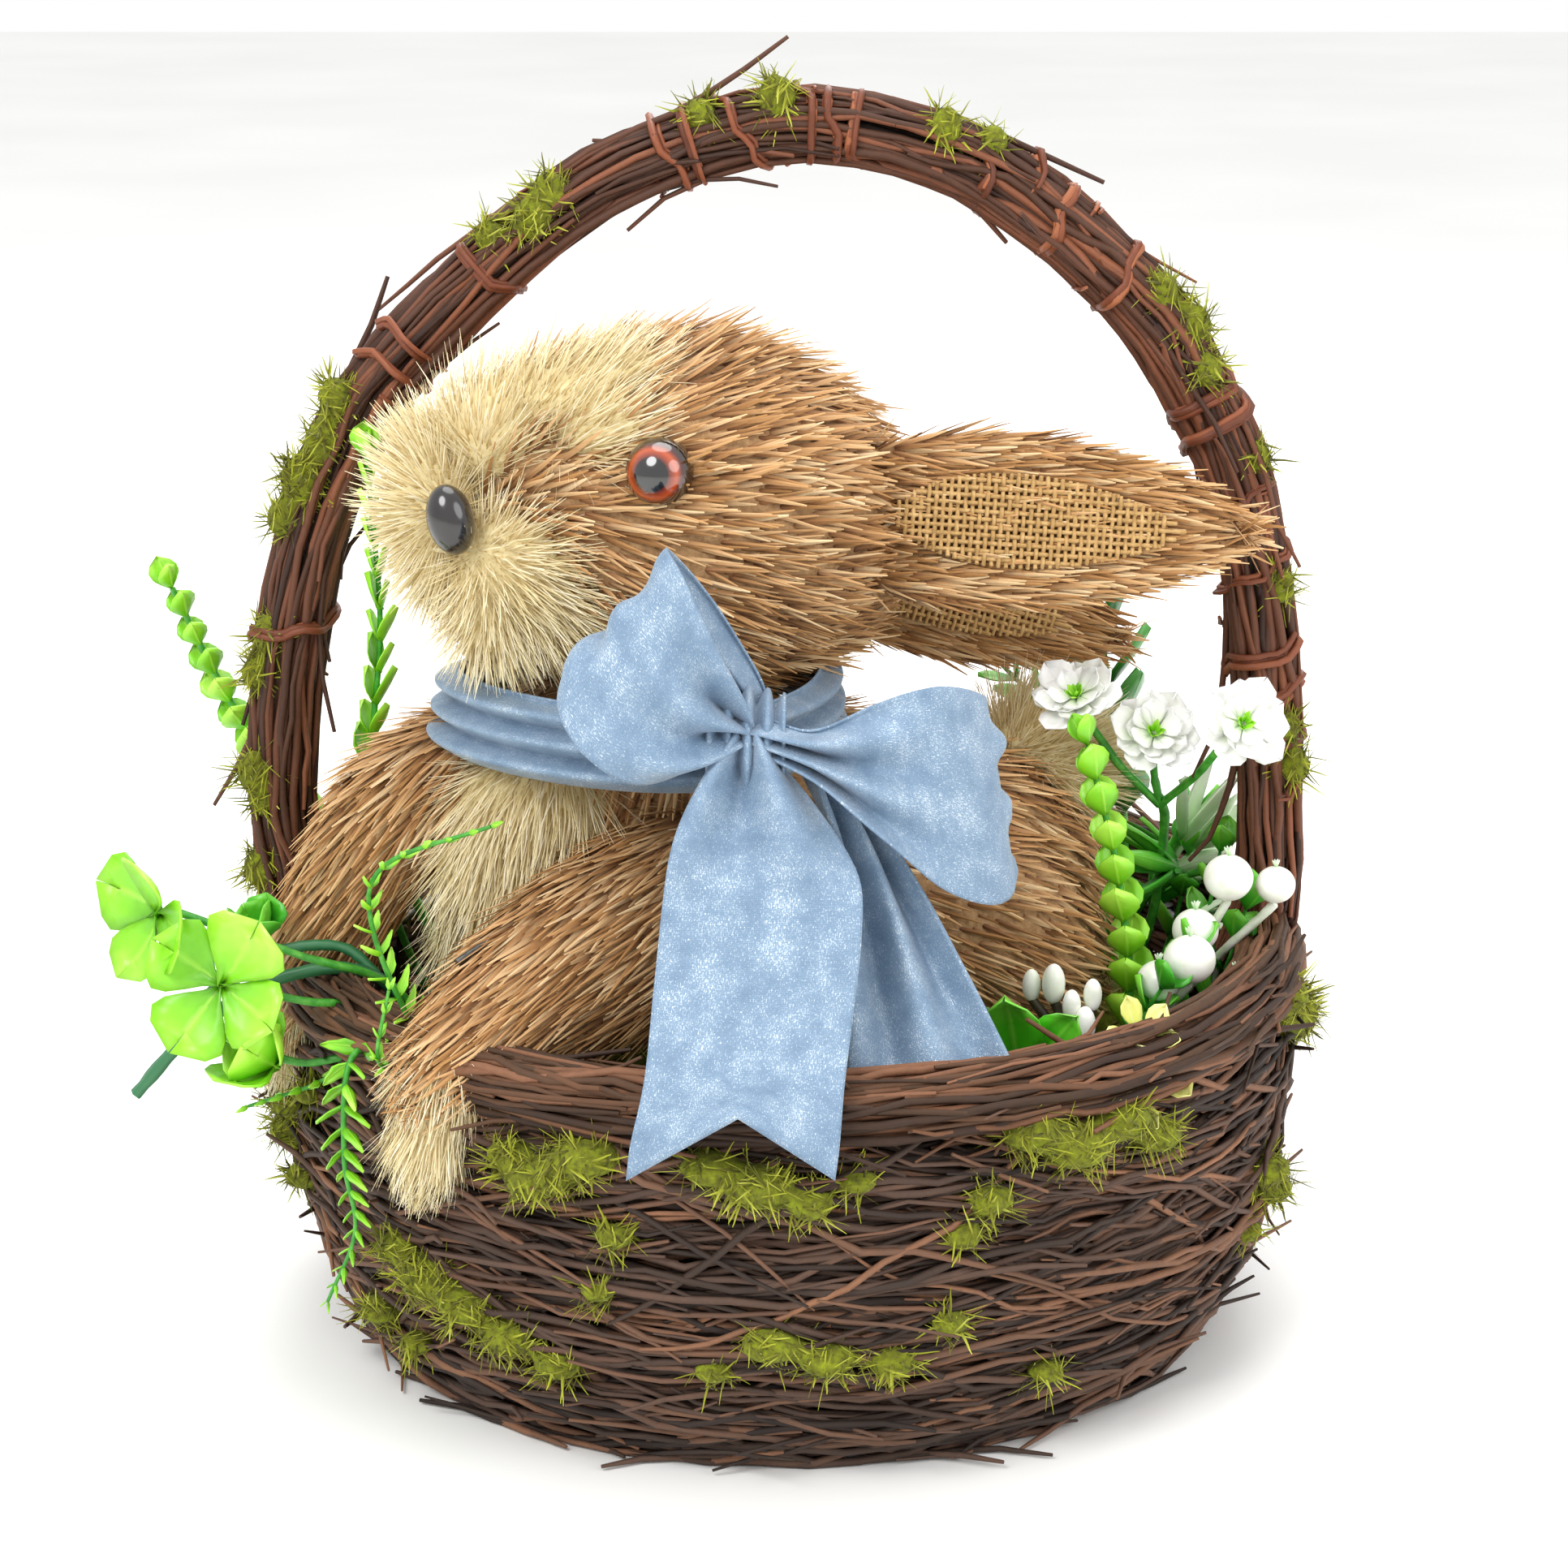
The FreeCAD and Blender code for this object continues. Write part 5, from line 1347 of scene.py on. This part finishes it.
clover = [stem("clover", through(points, 30), 1.0, stem_green) for points in [
    [foot(-78, -46), (-91, -53, 96), (-113, -64, 109), (-143, -63, 120)],
    [foot(-78, -46), (-93, -58, 92), (-112, -70, 100), (-130, -72, 105)],
    [foot(-76, -50), (-96, -66, 84), (-112, -68, 84), (-120, -68, 86)]]]
clover += spread_round(mm(-145, -63, 119), (-0.75, -0.6, 0.1), 4, 18, 0.85, heart_leaf, lime, 0.3)
clover += spread_round(mm(-130, -73, 105), (-0.1, -1, 0.25), 4, 19, 0.9, heart_leaf, lime, 0.1)
clover += spread_round(mm(-118, -70, 84), (-0.5, -0.5, 0.6), 5, 17, 0.42, heart_leaf, lime, 0.5)
clover += spread_round(mm(-124, -46, 106), (-0.2, -0.4, 1), 5, 12, 0.4, heart_leaf, mid_green, 0.2)
keep("clover_pick_leaves", merged("clover", clover), ["clover_pick"])

fern = [leafy("fern", points, fern_leaf, pairs, size, lime, stem_green, *numbers)
        for points, pairs, size, numbers in [
    ([foot(-76, -57), (-86, -80, 98), (-94, -84, 124), (-90, -86, 138), (-66, -90, 148)], 17, 10,
     (0.22, 1.25, 0.75, 1.57, 0.0, 7, 0.9)),
    ([(-86, -70, 88), (-99, -84, 92), (-101, -91, 70), (-99, -91, 52), (-106, -90, 34)], 15, 11,
     (0.15, 1.2, 0.8, 0.2, 0.0, 9, 0.9)),
    ([foot(-76, -57), (-88, -86, 88), (-92, -97, 96), (-89, -97, 112)], 10, 7,
     (0.3, 1.0, 0.6, 1.2, 0.0, 11, 0.8)),
    ([foot(-74, -40), (-96, -62, 82), (-112, -68, 78), (-126, -67, 73)], 12, 7,
     (0.3, 1.2, 0.6, 0.3, 0.0, 12, 0.8))]]
keep("fern_pick_leaves", merged("fern", fern), ["fern_pick"])

blades = [stem("blade", through(points, 40), wide, grass_green) for points, wide in [
    ([foot(-80, -38), (-96, -47, 97), (-119, -57, 101), (-139, -61, 89), (-153, -62, 74)], 1.7),
    ([(-96, -47, 97), (-107, -45, 105), (-128, -49, 102), (-147, -54, 84)], 1.4)]]
keep("grass_blades_leaves", merged("grass", blades), ["grass_blades"])

# %% Right side sprigs
box_tall = [leafy("box", [foot(80, 46), (88, 54, 92), (86, 55, 124), (79, 50, 168)], oval_leaf, 6, 23,
                  dark_green, stem_green, 0.45, 0.95, 0.15, 0.0, 0.35, 13, 1.6),
            leafy("box", [(86, 54, 120), (72, 48, 134), (56, 44, 150), (48, 42, 160)], oval_leaf, 6, 13,
                  mid_green, stem_green, 0.25, 0.9, 0.3, 0.4, 0.3, 15, 1.0)]
keep("boxwood_tall_leaves", merged("box", box_tall), ["boxwood_tall"])
light = leafy("bl", [foot(76, -30), (82, -33, 84), (79, -32, 118), (71, -30, 150)], round_leaf, 9, 13, lime,
              stem_green, 0.22, 0.75, 0.35, 0.0, 0.12, 17, 1.3)
keep("boxwood_light_leaves", light, ["boxwood_light_sprig"])
low_leaves = []
for k, (x, y, z) in enumerate([(108, 8, 112), (112, -14, 104), (104, 30, 116), (96, -34, 100), (88, -50, 96)]):
    line = [foot(x * 0.9, y * 0.9), (x * 0.96, y * 0.96, 88), (x, y, z)]
    low_leaves.append(leafy("low", line, round_leaf, 4, 11, mid_green, stem_green, 0.4, 0.9, 0.2, k * 0.8,
                            0.9, 20 + k, 0.9))
spikes = []
for k, (spot, way) in enumerate([
        ((94, 34, 90), (0.5, 0, 1)), ((97, 30, 100), (0.9, -0.1, 0.4)), ((99, 28, 104), (-0.8, -0.2, 0.6)),
        ((100, 20, 112), (0.4, -0.2, 1)), ((92, 20, 98), (-0.9, -0.3, 0.15)), ((100, 10, 92), (1, -0.3, 0.3)),
        ((98, 14, 106), (-0.6, -0.3, 0.2)), ((104, 26, 108), (0.7, -0.2, 0.9))]):
    spikes += spread_round(mm(*spot), way, 4, 22 - k % 3 * 3, 0.35, long_leaf,
                           white_leaf if k % 2 else mid_green, k * 0.3)
spikes += [stem("spike", through([foot(76, 36), (92, 32, 92), top], 20), 1.0, stem_green)
           for top in [(100, 28, 112), (98, 12, 106), (106, 20, 104)]]
keep("spiky_pick_leaves", merged("spiky", spikes + low_leaves), ["spiky_pick"])

daisies = [stem("daisy", through([foot(84, 16), (92, 18, 90), (94, 10, 118), (92, 2, 128)], 30), 1.3,
                stem_green)]
for k, (spot, face) in enumerate([((70, -10, 156), (-0.3, -0.5, 0.9)), ((89, -6, 146), (0.1, -0.8, 0.7)),
                                  ((109, -18, 152), (0.2, -1, 0.5))]):
    centre = mm(*spot)
    out = Vector(face).normalized()
    fork = mm(92, 2, 126)
    back = centre - out * 0.004
    line = even_line([fork, (fork + back) / 2 + mm(0, 0, -2), back, centre], 14)
    daisies.append(stem("daisy", line, 1.1, stem_green))
    daisies += spread_round(centre, face, 10, 11.5, 0.95, petal, petals, 0.2 * k)
    daisies += spread_round(centre + out * 0.0008, face, 9, 8.0, 0.86, petal, petals, 0.5)
    daisies += spread_round(centre + out * 0.001, face, 9, 3.6, 0.5, narrow_petal, lime, 0.1)
keep("daisy_spray_flowers", merged("daisy", daisies), ["daisy_spray"])


def berry(spot, radius):
    """A white ball with a small crown of sepals on top."""
    spot = Vector(spot)
    crown = spread_round(spot * 0.001 + mm(0, 0, radius * 0.9), (0, 0, 1), 5, radius * 0.45, 0.4,
                         narrow_petal, white_leaf, 0.3)
    return [smooth_ball("berry", spot, (radius, radius, radius * 0.94), berry_white, 4)] + crown


def berries(name, node, root, spots):
    meshes = []
    for spot, radius in spots:
        bend = (root[0] * 0.75 + spot[0] * 0.25, root[1] * 0.75 + spot[1] * 0.25, 84)
        path = [foot(*root), bend, tuple(Vector(spot) - Vector((0, 0, radius)))]
        meshes.append(stem("berry_stem", through(path, 24), 1.15, stem_white))
        meshes += berry(spot, radius)
    keep(name, merged(name, meshes), [node])


berries("berry_pick_tall_berries", "berry_pick_tall", (92, -12),
        [((106, -26, 116), 6.0), ((118, -22, 113), 4.8), ((98, -30, 104), 5.6)])
berries("berry_pick_low_berries", "berry_pick_low", (86, -40),
        [((95, -46, 102), 6.2), ((107, -40, 92), 5.6), ((88, -44, 96), 5.2), ((90, -60, 80), 5.2),
         ((106, -44, 82), 2.8)])
buds = []
for spot, size in [((62, -58, 100), 5), ((66, -62, 96), 4), ((71, -60, 98), 4), ((69, -64, 92), 4.6),
                   ((57, -56, 99), 4)]:
    path = [foot(68, -52), (67, -60, 82), tuple(Vector(spot) - Vector((0, 0, 3)))]
    buds.append(stem("bud_stem", through(path, 20), 1.3, stem_dark))
    buds.append(smooth_ball("bud", spot, (size * 0.55, size * 0.55, size), berry_white, 3))
keep("bud_pick_buds", merged("buds", buds), ["bud_pick"])
star = [stem("star", through([foot(68, -54), (77, -66, 78), (80, -80, 84), (78, -82, 84)], 20), 0.9,
             stem_green)]
for spot, face, size in [((74, -88, 82), (0, -1, 0.6), 13), ((84, -82, 88), (0.3, -1, 0.5), 11),
                         ((80, -84, 96), (0.1, -0.6, 1), 10)]:
    star += spread_round(mm(*spot), face, 5, size, 0.8, petal, yellow_petal, size * 0.1, 0.75)
    star += [smooth_ball("eye", spot, (1.8, 1.8, 1.8), yellow_petal, 3)]
keep("star_flower_blooms", merged("star", star), ["star_flower_pick"])
broad = [stem("broad", through([foot(46, -66), (52, -78, 80), (54, -82, 92)], 16), 1.1, stem_green)]
for spot, way, size, finish in [
        ((53, -80, 84), (-0.15, -0.1, 1), 24, glossy_green),
        ((52, -78, 86), (-0.75, 0.2, 0.8), 21, dark_green),
        ((54, -80, 86), (0.75, -0.1, 0.9), 20, glossy_green),
        ((52, -82, 82), (-1, -0.4, -0.35), 23, glossy_green),
        ((64, -76, 80), (-0.1, -0.1, 1), 14, dark_green), ((66, -80, 76), (-0.3, -0.2, 0.9), 14, mid_green)]:
    broad.append(placed(broad_leaf, mm(*spot), way, (-0.2, -1, 0.25), size, finish, 0.4))
keep("broad_leaf_leaves", merged("broad", broad), ["broad_leaf_pick"])

# %% [markdown]
# ## What stays hidden
# The wires, foam cores and wooden spine stay as the frame has them, with finishes of their own.

# %% Hidden pieces
hidden = {"wire_frame": steel, "handle_wire": steel, "ear_wire_near": steel, "ear_wire_far": steel,
          "arm_wire_near": steel, "arm_wire_far": steel, "foam_block": foam_green, "body_core": foam_white,
          "head_core": foam_white, "spine_dowel": dowel_wood}
for word, finish in hidden.items():
    item = bpy.data.objects[word]
    item.data.materials.clear()
    item.data.materials.append(finish)
for template in (straw_blade, sisal_hair, moss_curl, round_leaf, oval_leaf, long_leaf, fern_leaf, broad_leaf,
                 heart_leaf, petal, narrow_petal, dot):
    clear_away(template)

# %% [markdown]
# ## Floor and light
# A pale floor and wide soft lights from above and both sides.

# %% Stage
bpy.ops.mesh.primitive_plane_add(size=8, location=(0, 0, 0))
floor = bpy.context.object
floor.name = "floor"
floor_finish = Finish("pale_floor", Specular_IOR_Level=0.2)
floor_tone = floor_finish.noise(floor_finish.place(), 3.0, 2.0)
floor_finish.set("Base_Color", floor_finish.ramp(floor_tone, [(0.3, "f0f0ee"), (0.7, "f6f6f4")]))
floor_finish.set("Roughness", 0.8 + floor_tone * 0.1)
floor.data.materials.append(floor_finish.material)


def soft_light(name, place, power, size):
    lamp = bpy.data.lights.new(name, "AREA")
    lamp.energy, lamp.shape, lamp.size = power, "DISK", size
    item = bpy.data.objects.new(name, lamp)
    item.location = place
    item.rotation_euler = (Vector((0, 0, 0.12)) - Vector(place)).to_track_quat("-Z", "Y").to_euler()
    scene.collection.objects.link(item)


soft_light("key", (-0.7, -1.0, 1.3), 17, 0.9)
soft_light("fill", (1.1, -0.8, 0.8), 7, 1.0)
soft_light("top", (0.1, 0.3, 1.6), 11, 1.2)
soft_light("back", (0.2, 1.2, 0.9), 8, 1.0)
world = bpy.data.worlds.new("white")
scene.world = world
world.use_nodes = True
world.node_tree.nodes["Background"].inputs[0].default_value = (1, 1, 1, 1)
world.node_tree.nodes["Background"].inputs[1].default_value = 1.0
scene.view_settings.view_transform = "Standard"
